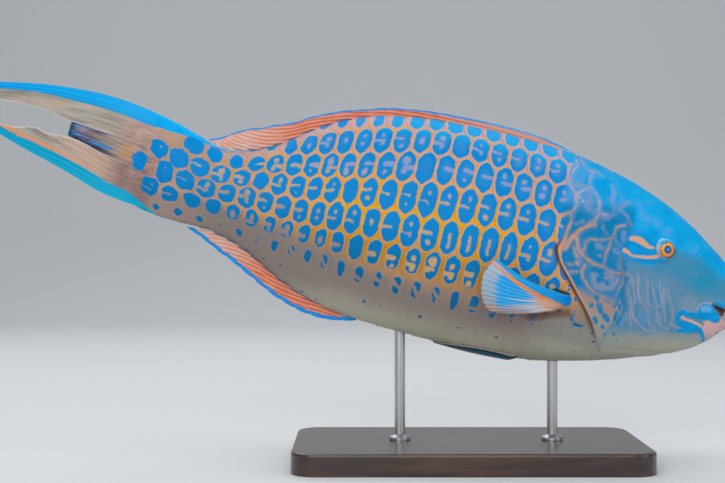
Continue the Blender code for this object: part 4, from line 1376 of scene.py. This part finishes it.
def build_mouth_lining(context):
    """Rounded floor and sides of the mouth, behind the tooth plates."""
    polar, turn = ball_angles(rings=14, sides=28)
    x = 9.5 * np.cos(polar)
    y = 11.5 * np.sin(polar) * np.cos(turn)
    z = (5.8 * np.sin(turn) + 0.5 * np.sin(3 * turn)) * np.sin(polar)
    points = np.stack((x - 19.5, y, z - 10.4 - 0.42 * x + 0.05 * np.abs(y)), -1)
    made = new_piece("mouth_lining", points, ring_faces(*polar.shape), mouth_material(context))
    turn_outwards(made.data, weld=True)
    settle(made, "tooth_plate")


# --- scales --------------------------------------------------------------------------------
def scale_grid(sizes, column, row):
    """T and angle of one scale's points, and their height off the body; None off the body."""
    mid_t, mid_arc = LATTICE.point(column, row)
    belly, back = (LATTICE.arc_at(mid_t, turn) for turn in (-math.pi / 2, math.pi / 2))
    if not belly - 7 < mid_arc < back + 7 or mid_t > STALK_END - 6:
        return None
    p = np.linspace(0, 1, 12)[:, None]
    q = np.linspace(-1, 1, 13)[None, :]
    rear = 0.53 * (1 - np.abs(q) ** 2.7) + 0.02
    front = -0.62 * (1 - np.abs(q) ** 3.2) - 0.02
    along = front + (rear - front) * p ** 0.9
    t, arc = LATTICE.point(column + along, row + np.broadcast_to(q * 0.69, along.shape))
    angle = np.clip(LATTICE.look(LATTICE.turn, t, arc), -STEEPEST, STEEPEST)
    t = np.minimum(t, STALK_END - 0.6)
    edge = smooth(SCALES_FRONT, body(t, angle)[..., 2]) + 0.7
    if (t[-1] < edge[-1] + 2).all():
        return None
    t = np.maximum(t, edge)
    z = body(t, angle)[..., 2]
    rise = np.clip((along + 0.62) / 1.15, 0, 1)
    high = (0.12 + 0.88 * ease(t, 112, 168)) * (1 - 0.6 * ease(-z, 40, 58))
    high = high * (1 - 0.7 * ease(t, 436, 464))
    lift = -0.2 + (sizes.scale_lift / MM * high + 0.2) * rise ** 1.3
    lift = lift + 0.12 * (1 - q ** 2) * rise * high - tail_sink(t, angle)
    return t, angle, lift


def build_scales(context, word, side):
    sizes = context.scene.parrotfish_sizes
    thick = sizes.scale_thickness / MM
    points, places, faces = [], [], []
    start = 0
    for row in range(FIRST_ROW, LAST_ROW + 1):
        for step in range(-6, 21):
            grid = scale_grid(sizes, step + row % 2 / 2, row)
            if grid is None:
                continue
            t, angle, lift = grid
            surface, normal = body(t, angle), body_normal(t, angle)
            thin = thick * (0.55 + 0.45 * np.linspace(1, 0, len(t))[:, None])
            for height in (lift, lift - thin):
                points.append(((surface + normal * height[..., None])
                               * (1, side, 1)).reshape(-1, 3))
                places.append((t.ravel(), angle.ravel()))
            faces += shell_faces(*t.shape, start)
            start += 2 * t.size
    points = np.concatenate(points)
    t, angle = np.concatenate(places, axis=1)
    finish = (bpy.data.materials.get("Wet scales")
              or body_material(context, "Wet scales", 0.43, 0.04))
    made = new_piece("scales_" + word, points, faces, finish, 50)
    arc = body_fields(made.data, t, angle, points)
    flat = made.data.uv_layers.new(name="OFBake")
    loops = np.empty(len(made.data.loops), int)
    made.data.loops.foreach_get("vertex_index", loops)
    place = np.stack(((t - MAP_START) / MAP_LENGTH,
                      (arc - MAP_LOWEST) / MAP_GIRTH), 1)[loops]
    flat.data.foreach_set("uv", place.astype(np.float32).ravel())
    settle(made, "scaled_flank")


# --- eyes and tooth plates -----------------------------------------------------------------
def eye_material(context):
    c = palette(context)
    g = Finish("Wet eye", 0.2, coat=0.6)
    g.shader["Coat Roughness"].default_value = 0.03
    across, up, _ = g.parts("disc")
    rear_share = g.ramp(across + up * 0.4, -3.0, 4.0)
    ball_r = g.span(across, up)
    across, up = across + IRIS_SHIFT, up + IRIS_SHIFT
    r = g.span(across, up)
    streak = g.noise(g.join(g.math("ARCTAN2", up, across) * 3.0, r * 0.5), 0.35, detail=3.0)
    mottle = g.ripple(g.field("disc"), 1.6)
    # the ball: painted shade at the front, blue skin on top, a whitish painted highlight round its
    # rear rim and pink below
    rim = g.ramp(ball_r + mottle * 0.8, 6.7, 7.3) * g.ramp(across - up * 0.2, 1.0, 4.0)
    low = g.ramp(up - across * 0.3 + mottle, -4.6, -6.2)
    shadow = g.mix(rear_share, g.mix(0.5, c.iris_dark, c.deep), c.fin_mist)
    ball = g.paint(
        shadow,
        (g.ramp(up + mottle * 2.0, 1.0, 3.2), c.eye_blue),
        (rim * 0.85, c.fin_white),
        (low * 0.85, c.lip_pink))
    orange = g.paint(
        c.iris,
        (g.ramp(streak, 0.35, 0.7) * 0.4, c.iris_dark),
        (g.ramp(across + up * 0.3, 0.0, -5.0) * 0.5, c.fin_red))
    pupil = g.paint(
        c.pupil,
        (g.ramp(r, 2.3, 0.6), c.fin_blue),
        (g.ramp(r, 2.0, 2.4), c.deep))
    pale = g.ramp(r, 3.55, 3.25) * (0.25 + 0.45 * g.ramp(across - up * 0.6, -1.0, 2.5))
    colour = g.paint(
        ball,
        (g.ramp(r + mottle * 0.5, 6.1, 5.7), g.mix(0.3, c.iris_dark, c.fold)),
        (g.ramp(r + mottle * 0.7, 5.35, 4.9), orange),
        (pale, c.lip_pink),
        (g.ramp(r, 3.0, 2.75), pupil))
    return g.done(colour, streak * g.ramp(r, 5.4, 4.9), 0.15, 0.0003)


def build_eye(context, word, side):
    centre, axis, up, across = eye_place(side)
    polar, turn = ball_angles(rings=40, sides=72)
    r, deep = EYE_DISC * np.sin(polar), EYE_DEPTH * np.cos(polar)
    # a ridge round the iris, and the pupil's lens
    flip = 1.0 if (across * side)[0] > 0 else -1.0
    rear, high = np.cos(turn) * r * -side * flip, np.sin(turn) * r
    ring = np.hypot(rear + IRIS_SHIFT, high + IRIS_SHIFT)
    deep = deep + np.where(polar < np.pi / 2, 0.25 * bell(ring - 5.8, 0.5)
                           + 0.3 * np.exp(-(ring / 2.8) ** 4) - 0.3 * ease(ring, 6.6, 5.9), 0)
    points = (centre + axis * deep[..., None]
              + (across * np.cos(turn)[..., None] + up * np.sin(turn)[..., None]) * r[..., None])
    finish = bpy.data.materials.get("Wet eye") or eye_material(context)
    made = new_piece("eyeball_" + word, points, ring_faces(*polar.shape), finish)
    store(made.data, "disc", rear, high, deep)
    turn_outwards(made.data, weld=True)
    settle(made, "eye_glass", "eye_" + word)


def tooth_material(context):
    c = palette(context)
    g = Finish("Tooth plate", 0.3, coat=0.4, specular=0.4)
    place = g.field("tooth")
    across, level, _ = g.split(place)
    cells = g.node("TexVoronoi", {"Vector": g.join(across * 0.8, level * 5.0), "Scale": 1.0},
                   feature="DISTANCE_TO_EDGE")
    seam = g.ramp(Number(g, cells.outputs["Distance"]), 0.12, 0.02)
    colour = g.paint(
        c.tooth,
        (g.ramp(level, 0.75, 0.1), c.lip_pink),
        (seam * 0.45, c.line),
        (g.noise(place, 3.0) * 0.3, c.snout))
    return g.done(colour, seam, -0.3)


def build_beak(context, word, shape):
    """Curved tooth plate: a bow in plan, thick at its root, its edge notched into teeth."""
    front, rear, half, root, slope, edge_front, edge_side = shape
    across = np.linspace(-1, 1, 97)[:, None]
    level = np.linspace(0, 1, 15)[None, :]
    flat = np.zeros(across.shape)
    outward = unit(np.stack((flat + half, 2 * (rear - front) * across, flat), -1))
    notch = 0.5 * np.abs(np.sin(across * half * math.pi / TOOTH_WIDTH)) * level ** 4
    edge = edge_front + (edge_side - edge_front) * across ** 2
    edge = edge - np.sign(edge_front - root) * notch
    thick = 3.6 + (1.2 - 3.6) * level
    bulge = 0.9 * np.sin(math.pi * level) - 0.5 * level
    bulge = bulge + 0.12 * np.cos(across * half * 2 * math.pi / TOOTH_WIDTH) * level
    sides = []
    for depth in (bulge, bulge - thick):
        point = np.stack((-(front + (rear - front) * across ** 2), half * across, flat), -1)
        point = point + outward * depth[..., None]
        root_z = root + slope * (-point[..., 0] - front)
        point[..., 2] = root_z + (edge - root_z) * level
        sides.append(point)
    finish = bpy.data.materials.get("Tooth plate") or tooth_material(context)
    made = shell("tooth_plate_" + word, sides, finish, 60, {"tooth": (across * half, level, 0)})
    settle(made, "tooth_plate", "beak_" + word)


# --- fins ----------------------------------------------------------------------------------
def ribbed(sizes, half, ray):
    """Half thickness of a fin whose rays stand out."""
    return half * (1 - sizes.ray_relief + sizes.ray_relief * np.cos(2 * math.pi * ray))


def median_material(context, name, blue_width, scallop):
    """Salmon membrane with red streaks along the rays and a blue outer margin."""
    c = palette(context)
    g = Finish(name, 0.42, coat=0.1)
    ray, _, margin = g.parts("fin")
    place = g.field("spot")
    t, height, _ = g.split(place)
    wobble = g.ripple(place, 9.0)
    thin = g.ripple(g.join(ray, t * 0.02), 0.22)
    wave = g.rays(ray + wobble * 0.15)
    streak = g.ramp(wave * 0.35 + thin * 2.2, -0.3, 0.45)
    front = g.ramp(t, 262.0, 200.0)
    foot = g.ramp(height + wobble * 1.6 + wave * 0.5, 1.5, 0.6) * g.ramp(t, 290.0, 330.0)
    phase = g.math("FRACT", (t - margin * 1.4 + wobble * 5.0) / scallop)
    width = blue_width * (0.85 + 0.35 * g.ramp(phase, 1.1, 0.0)) + wobble * 0.8
    blue = g.paint(
        c.fin_blue,
        (g.ramp(phase, 0.12, 0.0), c.spot_low),
        (front * 0.8, c.tail_blue))
    colour = g.paint(
        c.fin_red,
        (streak, c.fin_salmon),
        (g.ramp(t - height * 0.5, 345.0, 392.0) * 0.75, g.mix(streak, c.fin_salmon, c.fin_white)),
        (front * 0.7, g.mix(0.35, c.fin_salmon, c.lip_pink)),
        (foot * 0.85, c.spot_low),
        (g.ramp(margin - width, 0.3, -0.3), blue))
    return g.done(colour, thin + wave * 0.3)


def build_median_fin(context, name, node, profile, free, upward, blue_width, lean, scallop):
    """Upright fin on the back (upward +1) or under the belly (-1).

    Its rays slant back strongly: lean gives, for each T, where a ray's line has risen to.
    """
    start, end = profile[0][0], profile[-1][0]
    free_t, free_low, free_high = free
    t = np.linspace(start, end, int(end - start) + 1)[:, None]
    level = np.linspace(0, 1, 31)[None, :]
    top, bottom, _, _ = stations(t)
    ridge = top if upward > 0 else bottom
    lift = -0.6 + np.where(t > free_t, (free_low + (free_high - free_low) * (t - free_t)
                                        / (end - free_t) + 1.1), 0)
    tall = np.maximum(smooth(profile, t), np.maximum(lift, 0) + 0.7)
    notch = np.abs(np.sin(math.pi * t / scallop)) ** 0.6
    tall = tall - (1 - notch) * (0.2 + 0.05 * tall)
    height = lift + (tall - lift) * level
    z = ridge + upward * height
    ray = (smooth(lean, t) - height) / 2.9
    half = ribbed(context.scene.parrotfish_sizes, 1.35 + (0.42 - 1.35) * level ** 0.8, ray)
    sway = 0.25 * np.sin(t * 0.21) * level + 0.12 * np.cos(ray * 2 * math.pi) * level
    middle = np.stack((np.broadcast_to(-t, z.shape), sway, z), -1)
    finish = median_material(context, "Fin membrane " + name, blue_width, scallop)
    fields = {"fin": (ray, 0, tall - height), "spot": (t, height, 0)}
    sheet(name, middle, np.maximum(half, THINNEST), finish, fields, "salmon_fin", node)


def tail_material(context):
    """Tail membrane with rays, its outer bands blue above and teal below."""
    c = palette(context)
    g = Finish("Tail membrane", 0.45, coat=0.05, specular=0.12)
    ray, part, margin = g.parts("fin")
    t, z, inner = g.parts("spot")
    upper, lower = part > 0.5, part < -0.5
    middle = 1.0 - upper - lower
    along = g.ramp(t, 470.0, 630.0)
    streaks = g.ripple(g.join(t * 0.03, margin, part * 9.0), 0.9, detail=3.0)
    broad = g.ripple(g.join(t * 0.05, margin * 0.5, part * 5.0), 2.6, detail=1.0)
    hairs = g.ripple(g.join(t * 0.02, margin, part * 9.0), 0.45)
    salmon = g.ramp(broad, 0.0, 0.2) * 0.22 + lower * g.ramp(t, 560.0, 500.0) * 0.3
    pale = g.ramp(inner + streaks * 2.0, 1.5, 0.6) * g.ramp(t, 486.0, 500.0) * (upper + lower)

    # the outer bands, and the peach stripe inside the lower one
    wide = (g.ramp(t, 404.0, 476.0) * 10.8 + 0.6 - along * 7.5) * upper
    wide = wide + (g.ramp(t, 436.0, 474.0) * 8.8 + g.ramp(t, 466.0, 508.0) * 2.8 - 0.6
                   - along * 6.5) * lower
    band = g.ramp(margin - wide + broad * 2.2 + streaks * 2.0, 0.4, -0.4) * (upper + lower)
    stripe = g.ramp(margin - wide + streaks * 4.0, 6.0, 1.0) * lower * g.ramp(t, 488.0, 540.0)
    blue = g.paint(
        c.tail_teal,
        (upper, c.tail_blue),
        (g.ramp(margin - wide * 0.6, 0.0, 3.0) * 0.3, c.teal))

    # the dark middle rays
    dusk = g.paint(
        c.tail_dark,
        (g.ramp(streaks, -0.08, 0.2) * 0.7, c.mark),
        (g.ramp(broad + streaks, 0.04, 0.16) * g.ramp(t, 480.0, 492.0), c.spot))
    dark = middle * g.ramp(t + streaks * 50.0 + broad * 60.0, 484.0, 506.0)
    # painted shade on the middle rays along their lower edge, where the lower lobe meets them
    fold = g.ramp(inner + streaks * 3.0, 4.2, 1.2) * g.ramp(t, 478.0, 492.0) * middle
    ends = middle * g.ramp(t + streaks * 8.0, 526.0, 530.0)
    root, blob = tail_root(g, c, t, z)
    colour = g.paint(
        c.belly,
        (g.ramp(broad, -0.2, 0.1) * 0.7 + 0.3, c.tail_web),
        (g.ramp(hairs, 0.08, 0.2) * 0.4, c.fold),
        (g.ramp(streaks, 0.04, 0.2) * 0.35, c.fin_white),
        (salmon + g.ramp(t, 590.0, 625.0) * upper * 0.5, c.fin_salmon),
        (pale * 0.7, c.fin_white),
        (stripe * 0.75, g.mix(along, c.fin_salmon, c.fin_orange)),
        (dark * 0.9, dusk),
        (fold * 0.8, c.deep),
        (ends, g.mix(g.ramp(streaks, -0.1, 0.1), c.deep, c.spot_low)),
        (g.ramp(t + streaks * 20.0, 500.0, 476.0), g.mix(blob, root, c.spot)),
        (band, blue))
    return g.done(colour, (g.rays(ray) * 0.5 + streaks * 2.0) * (1.0 - band * 0.8))


def build_tail_part(context, name, node, inner_edge, outer_edge, part, ray_count, slot):
    """Lobe or middle rays of the tail fin: part is 1 for the upper lobe and -1 for the lower."""
    start, end = STALK_END - 14.0, outer_edge[-1][0]
    t = np.linspace(start, end, int((end - start) / 1.3))[:, None]
    level = np.linspace(0, 1, 8 * ray_count + 1)[None, :]
    lobe = part != 0
    low, high = smooth(inner_edge, t), smooth(outer_edge, t)
    shut = np.sign(high - low) * 0.3 * (1 - ease(t, 525, 540))
    low, high = low - shut, high + shut * (not lobe)
    top, bottom, _, _ = stations(np.minimum(t, STALK_END))
    inside = 0.8 * (1 - ease(t, 457, 465))
    free = t > STALK_END
    high = np.where(free, high, np.clip(high, bottom + inside, top - inside))
    low = np.where(free, low, np.clip(low, bottom + inside, top - inside))
    ray = level * ray_count
    ragged = {1: 0.5, 0: 4.0, -1: 0.8}[part]
    tip = ragged * (0.6 + 0.4 * np.sin(ray * 12.9 + 1.0)) * np.abs(np.sin(math.pi * ray)) ** 0.5
    x = -(t - tip * ease(t, end - 14, end))
    scallop = 0.5 * np.abs(np.sin(t / 9.0)) * (1 - level) * ease(t, 500, 520) * lobe
    z = low + (high - low) * level + np.sign(high - low) * scallop

    # thickness: ribbed, thin at the tips, and inside the stalk at the root
    along = np.clip((t - STALK_END) / (TAIL_TIP - STALK_END), 0, 1)
    half = (0.45 + 2.55 * (1 - along) ** 2) * (0.72 + 0.28 * np.sin(math.pi * level))
    relief = context.scene.parrotfish_sizes.ray_relief * (1 - 0.75 * ease(level, 0.55, 0.7) * lobe)
    half = np.maximum(half * (1 - relief + relief * np.cos(2 * math.pi * ray)), THINNEST)
    beside = np.broadcast_to(np.minimum(t, STALK_END), z.shape)
    room = 1 - (0.9 + 1.9 * ease(beside, 450, 470)) / stations(beside)[2]
    room = np.abs(body(beside, angle_at(beside, z))[..., 1]) * room
    room = np.maximum(room + 0.45 * ease(beside, 462, 469), THINNEST)
    share = ease(t, 468, 505)
    half = np.minimum(half, room) * (1 - share) + half * share

    pleat = 0.5 * np.cos(2 * math.pi * ray) * ease(t, 475, 520) * (1 - ease(level, 0.85, 1.0))
    middle = np.stack((x, pleat, z), -1)
    outline = top if part > 0 else bottom
    margin = np.where(free, np.abs(high - z), np.abs(outline - z)) + 9 * (not lobe)
    finish = bpy.data.materials.get("Tail membrane") or tail_material(context)
    fields = {"fin": (ray, part, margin), "spot": (t, z, np.abs(high - low) * level)}
    sheet(name, middle, half, finish, fields, slot, node)


def pectoral_arm(out, power):
    """Width of the pectoral fin at a share of its length, and its front rays' share of it."""
    fan = 11.8 + 56.0 * out
    return fan, 8.5 * (1.0 - power * 0.85) / fan


def pectoral_material(context):
    c = palette(context)
    g = Finish("Pectoral membrane", 0.4, coat=0.3)
    ray, out, share = g.parts("fin")
    wobble = g.ripple(g.field("spot"), 6.0)
    rays = g.rays(ray + wobble * 0.1)
    fan, arm = pectoral_arm(out, g.math("POWER", out, 0.7))
    fibre = g.ripple(g.join(share * 34.0, out * 1.3), 1.0)
    pale = g.ramp(fibre * 1.4 + share + (0.62 - out) * 0.9, 0.34, 0.66)
    rib = g.ramp(rays, 0.75, 1.0) * 0.25 * g.ramp(out, 0.3, 0.6)
    peach = g.ramp(out + share * 0.25 + fibre * 0.35, 0.52, 0.38)
    root = g.mix(g.ramp(share + fibre * 0.4, 0.05, 0.4) * 0.5, c.fin_orange, c.fin_white)
    fringe = g.ramp(out + fibre * 0.3 + g.ramp(share, 0.75, 1.0) * 0.14, 0.8, 0.88)
    mist = g.paint(
        c.fin_mist,
        (g.ramp(share + fibre * 0.2, 0.3, 0.58), c.line),
        (g.ramp(share, 0.28, 0.05) * 0.5, c.fin_white))
    streak = abs(share - arm - 1.5 / fan) * fan
    orange = g.ramp(streak + wobble, 1.7, 0.8) * g.ramp(out, 0.16, 0.34)
    bright = g.mix(g.ramp(out, 0.7, 0.95), c.fin_orange, c.lip_pink)
    under = g.ramp(share + fibre * 0.3, 0.42, 0.6) * g.ramp(out, 0.42, 0.64)
    # painted shadow at the foot of the fin, under its lower root
    foot = g.ramp(out, 0.62, 0.3) * g.ramp(share + out * 0.2, 0.72, 0.95) * g.ramp(out, 0.02, 0.1)
    colour = g.paint(
        c.tail_blue,
        (pale, c.fin_white),
        (rib, c.fin_mist),
        (peach * 0.9, root),
        (fringe * 0.9, mist),
        (orange, bright),
        (g.ramp((share - arm) * fan + wobble, 0.3, -0.3), c.tail_blue),
        (under * 0.85, c.line),
        (foot * 0.85, c.fold))
    return g.done(colour, rays, distance=0.0005)


def build_pectoral(context, word, side):
    first, last = ((body(t, angle_at(t, z)) + body_normal(t, angle_at(t, z)) * PECTORAL_LIFT)
                   * (1, side, 1) for t, z in PECTORAL_ROOT)
    rays = 19
    share = np.linspace(0, 1, rays * 8 + 1)[:, None]
    out = np.linspace(0, 1, 57)[None, :]
    knots = np.linspace(0, 1, len(PECTORAL_MARGIN))
    t, height, width = (smooth(tuple(zip(knots, column)), share)
                        for column in zip(*PECTORAL_MARGIN))
    tip = np.stack((-t, side * width, height), -1)
    root = first + (last - first) * share[..., None]
    ray = share * rays
    reach = out * (1 - 0.009 * np.abs(np.sin(math.pi * ray)) * ease(out, 0.7, 1))
    sag = np.stack((0 * share, side * PECTORAL_BOW + 0 * share, -PECTORAL_DROOP * (1 - share)), -1)
    middle = root + (tip - root) * reach[..., None] + sag * np.sin(math.pi * out)[..., None]
    pleat = 0.1 * np.cos(2 * math.pi * ray) * ease(out, 0.1, 0.5)
    corner = np.clip(np.abs(share - 0.4) / 0.4, 0, 1) ** 2
    pleat = pleat - (4.6 + 1.2 * corner) * (1 - ease(out, -0.02, 0.12 + 0.07 * corner)) ** 1.5
    middle[..., 1] += side * pleat
    half = ribbed(context.scene.parrotfish_sizes, 1.05 + (0.3 - 1.05) * out, ray)
    _, arm = pectoral_arm(out, out ** 0.7)
    across = np.clip(1 - ((share - arm * 0.45) / (arm * 0.62)) ** 2, 0, 1)
    half = np.maximum(half, THINNEST)
    half = half + np.sqrt(across) * (0.35 + 2.3 * (1 - ease(out, 0, 0.55)))
    finish = bpy.data.materials.get("Pectoral membrane") or pectoral_material(context)
    fields = {"fin": (ray, out, share), "spot": (t * reach, height * reach, side * 5)}
    sheet("pectoral_sheet_" + word, middle, half, finish, fields, "blue_fin",
          "pectoral_fin_" + word)


def pelvic_material(context):
    c = palette(context)
    g = Finish("Pelvic membrane", 0.5, specular=0.1)
    ray, out, _ = g.parts("fin")
    rays = g.rays(ray)
    colour = g.paint(
        c.line,
        (g.ramp(rays, -0.2, 0.8) * 0.3, c.fold),
        (g.ramp(ray, 1.3, 2.3), g.mix(0.42, c.deep, c.snout)),
        # painted shadow: a dark line between the belly and the fin
        (g.ramp(ray, 3.7, 4.2) * 0.95, c.deep),
        (g.ramp(ray, 4.5, 4.75), c.belly),
        (g.ramp(out, 0.12, 0.0), c.belly))
    return g.done(colour, rays)


def build_pelvic(context, word, side):
    rays = 5
    share = np.linspace(0, 1, 90)[:, None]
    level = np.linspace(0, 1, rays * 8 + 1)[None, :]
    ray = level * rays
    t = PELVIC_START + PELVIC_LENGTH * share * (1 - 0.03 * np.abs(np.sin(math.pi * ray))
                                                * ease(share, 0.7, 1))
    spread = 0.35 + 0.65 * np.sin(math.pi * np.minimum(share * 0.95 + 0.12, 1)) ** 0.8
    turn = PELVIC_INNER + (PELVIC_OUTER - PELVIC_INNER) * spread * level
    angle = turn - math.pi / 2
    thick = ribbed(context.scene.parrotfish_sizes, 2.3 + (0.9 - 2.3) * share, ray)
    rise = 0.45 + thick / 2 - 3.4 * (1 - ease(share, 0, 0.16))
    middle = (body(t, angle) + body_normal(t, angle) * rise[..., None]) * (1, side, 1)
    finish = bpy.data.materials.get("Pelvic membrane") or pelvic_material(context)
    sheet("pelvic_sheet_" + word, middle, np.maximum(thick / 2, 0.28), finish,
          {"fin": (ray, share, 0)}, "salmon_fin", "pelvic_fin_" + word)


# --- stand and stage -----------------------------------------------------------------------
def wood_material(context):
    c = palette(context)
    g = Finish("Varnished wood", 0.32, coat=0.5, specular=0.5)
    x, y, z = g.split(g.position())
    rings = g.noise(g.join(x * 0.12, y, z), 0.012, detail=4.0, rough=0.6, warp=0.6)
    pores = g.noise(g.join(x * 0.03, y, z), 0.0012)
    colour = g.paint(
        c.wood,
        (g.ramp(rings, 0.35, 0.65), c.wood_dark),
        (g.ramp(pores, 0.6, 0.75) * 0.5, c.wood_dark))
    return g.done(colour, pores, 0.15, 0.0003)


def steel_material(context):
    c = palette(context)
    g = Finish("Brushed steel", 0.3, metallic=1.0, specular=0.5)
    x, y, z = g.split(g.position())
    brushing = g.noise(g.join(x, y, z * 14.0), 0.0016, detail=3.0)
    g.feed(g.shader["Roughness"], 0.24 + brushing * 0.18)
    return g.done(g.mix(brushing * 0.35, c.steel, c.belly), brushing, 0.12, 0.0002)


def floor_material(context):
    g = Finish("Studio floor", 0.7)
    tone = g.noise(g.position(), 0.6)
    return g.done(g.mix(tone * 0.06, palette(context).floor, (0.6, 0.62, 0.64)))


def build_floor(context):
    """Pale floor that sweeps up behind the model."""
    depth = [(-3.0, 0.0), (1.6, 0.0)]
    depth += [(1.6 + 0.9 * math.sin(a), 0.9 - 0.9 * math.cos(a))
              for a in np.linspace(0.1, math.pi / 2, 16)]
    depth += [(2.5, 3.2)]
    points = [(x, y, z) for x in (-4.5, 4.5) for y, z in depth]
    count = len(depth)
    faces = [(i, i + 1, count + i + 1, count + i) for i in range(count - 1)]
    mesh = bpy.data.meshes.new("floor")
    mesh.from_pydata(points, [], faces)
    mesh.shade_smooth()
    mesh.materials.append(floor_material(context))
    floor = bpy.data.objects.new("floor", mesh)
    context.scene.collection.objects.link(floor)


def add_light(context, name, place, size, power, colour):
    light = bpy.data.lights.new(name, "AREA")
    light.shape = "RECTANGLE"
    light.size, light.size_y = size
    light.energy = power
    light.color = colour
    made = bpy.data.objects.new(name, light)
    made.location = place
    aim = Vector(LIGHTS_AIM) - Vector(place)
    made.rotation_euler = aim.to_track_quat("-Z", "Y").to_euler()
    context.scene.collection.objects.link(made)


def build_stage(context):
    build_floor(context)
    for values in LIGHTS:
        add_light(context, *values)
    world = bpy.data.worlds.new("Studio")
    world.use_nodes = True
    sky = world.node_tree.nodes["Background"]
    sky.inputs["Color"].default_value = (0.86, 0.9, 0.94, 1)
    sky.inputs["Strength"].default_value = 0.4
    context.scene.world = world
    context.scene.view_settings.view_transform = "Standard"

    camera = bpy.data.cameras.new("camera")
    camera.sensor_fit = "HORIZONTAL"
    camera.sensor_width = 36.0
    camera.lens = 36.0 / VIEW_WIDTH
    camera.clip_start = 0.05
    made = bpy.data.objects.new("camera", camera)
    made.location = CAMERA_PLACE
    made.rotation_euler = (math.pi / 2, 0, 0)
    context.scene.collection.objects.link(made)
    context.scene.camera = made


# --- operators -----------------------------------------------------------------------------
class PARROTFISH_OT_skin(bpy.types.Operator):
    """Build the skin of the head, body and tail stalk, with the open mouth"""
    bl_idname = "parrotfish.skin"
    bl_label = "Skin"

    def execute(self, context):
        skin = build_skin(context)
        open_mouth(context, skin)
        settle(skin, "blue_skin", "head", "gill_cover_left", "gill_cover_right", "trunk",
               "tail_stalk")
        build_mouth_lining(context)
        return {"FINISHED"}


class PARROTFISH_OT_scales(bpy.types.Operator):
    """Lay the overlapping scales on both flanks"""
    bl_idname = "parrotfish.scales"
    bl_label = "Scales"

    def execute(self, context):
        for word, side in SIDES:
            build_scales(context, word, side)
        return {"FINISHED"}


class PARROTFISH_OT_eyes(bpy.types.Operator):
    """Set both eyes in the head"""
    bl_idname = "parrotfish.eyes"
    bl_label = "Eyes"

    def execute(self, context):
        for word, side in SIDES:
            build_eye(context, word, side)
        return {"FINISHED"}


class PARROTFISH_OT_tooth_plates(bpy.types.Operator):
    """Set the upper and lower tooth plates in the mouth"""
    bl_idname = "parrotfish.tooth_plates"
    bl_label = "Tooth plates"

    def execute(self, context):
        build_beak(context, "upper", UPPER_BEAK)
        build_beak(context, "lower", LOWER_BEAK)
        return {"FINISHED"}


class PARROTFISH_OT_median_fins(bpy.types.Operator):
    """Build the fin on the back and the one under the belly"""
    bl_idname = "parrotfish.median_fins"
    bl_label = "Back and belly fins"

    def execute(self, context):
        for fin in MEDIAN_FINS:
            build_median_fin(context, *fin)
        return {"FINISHED"}


class PARROTFISH_OT_tail_fin(bpy.types.Operator):
    """Build the two lobes and the middle rays of the tail fin"""
    bl_idname = "parrotfish.tail_fin"
    bl_label = "Tail fin"

    def execute(self, context):
        for part in TAIL_PARTS:
            build_tail_part(context, *part)
        return {"FINISHED"}


class PARROTFISH_OT_paired_fins(bpy.types.Operator):
    """Build the fins behind the gill covers and the ones under the belly"""
    bl_idname = "parrotfish.paired_fins"
    bl_label = "Paired fins"

    def execute(self, context):
        for word, side in SIDES:
            build_pectoral(context, word, side)
            build_pelvic(context, word, side)
        return {"FINISHED"}


class PARROTFISH_OT_stand(bpy.types.Operator):
    """Finish the wooden base and the steel rods"""
    bl_idname = "parrotfish.stand"
    bl_label = "Stand"

    def execute(self, context):
        wood, steel = wood_material(context), steel_material(context)
        for node, finish in (("stand_base", wood), ("stand_rod_front", steel),
                             ("stand_rod_rear", steel)):
            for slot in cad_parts[node].material_slots:
                slot.material = finish
        return {"FINISHED"}


class PARROTFISH_OT_stage(bpy.types.Operator):
    """Add the floor, the lights and the camera"""
    bl_idname = "parrotfish.stage"
    bl_label = "Stage"

    def execute(self, context):
        build_stage(context)
        return {"FINISHED"}


OPERATORS = (PARROTFISH_OT_skin, PARROTFISH_OT_scales, PARROTFISH_OT_eyes,
             PARROTFISH_OT_tooth_plates, PARROTFISH_OT_median_fins, PARROTFISH_OT_tail_fin,
             PARROTFISH_OT_paired_fins, PARROTFISH_OT_stand, PARROTFISH_OT_stage)


class PARROTFISH_PT_panel(bpy.types.Panel):
    """Lists the model's sizes, colours and pieces"""
    bl_label = "Parrotfish"
    bl_idname = "PARROTFISH_PT_panel"
    bl_space_type = "VIEW_3D"
    bl_region_type = "UI"
    bl_category = "Parrotfish"

    def draw(self, context):
        for group in (context.scene.parrotfish_sizes, context.scene.parrotfish_colours):
            box = self.layout.box()
            for name in group.__annotations__:
                box.prop(group, name)
        for operator in OPERATORS:
            self.layout.operator(operator.bl_idname)


CLASSES = (ParrotfishSizes, ParrotfishColours, *OPERATORS, PARROTFISH_PT_panel)


def register():
    for item in CLASSES:
        bpy.utils.register_class(item)
    bpy.types.Scene.parrotfish_sizes = PointerProperty(type=ParrotfishSizes)
    bpy.types.Scene.parrotfish_colours = PointerProperty(type=ParrotfishColours)


def unregister():
    del bpy.types.Scene.parrotfish_colours
    del bpy.types.Scene.parrotfish_sizes
    for item in reversed(CLASSES):
        bpy.utils.unregister_class(item)


def main():
    register()
    for operator in OPERATORS:
        group, name = operator.bl_idname.split(".")
        getattr(getattr(bpy.ops, group), name)()


if __name__ == "__main__":
    main()
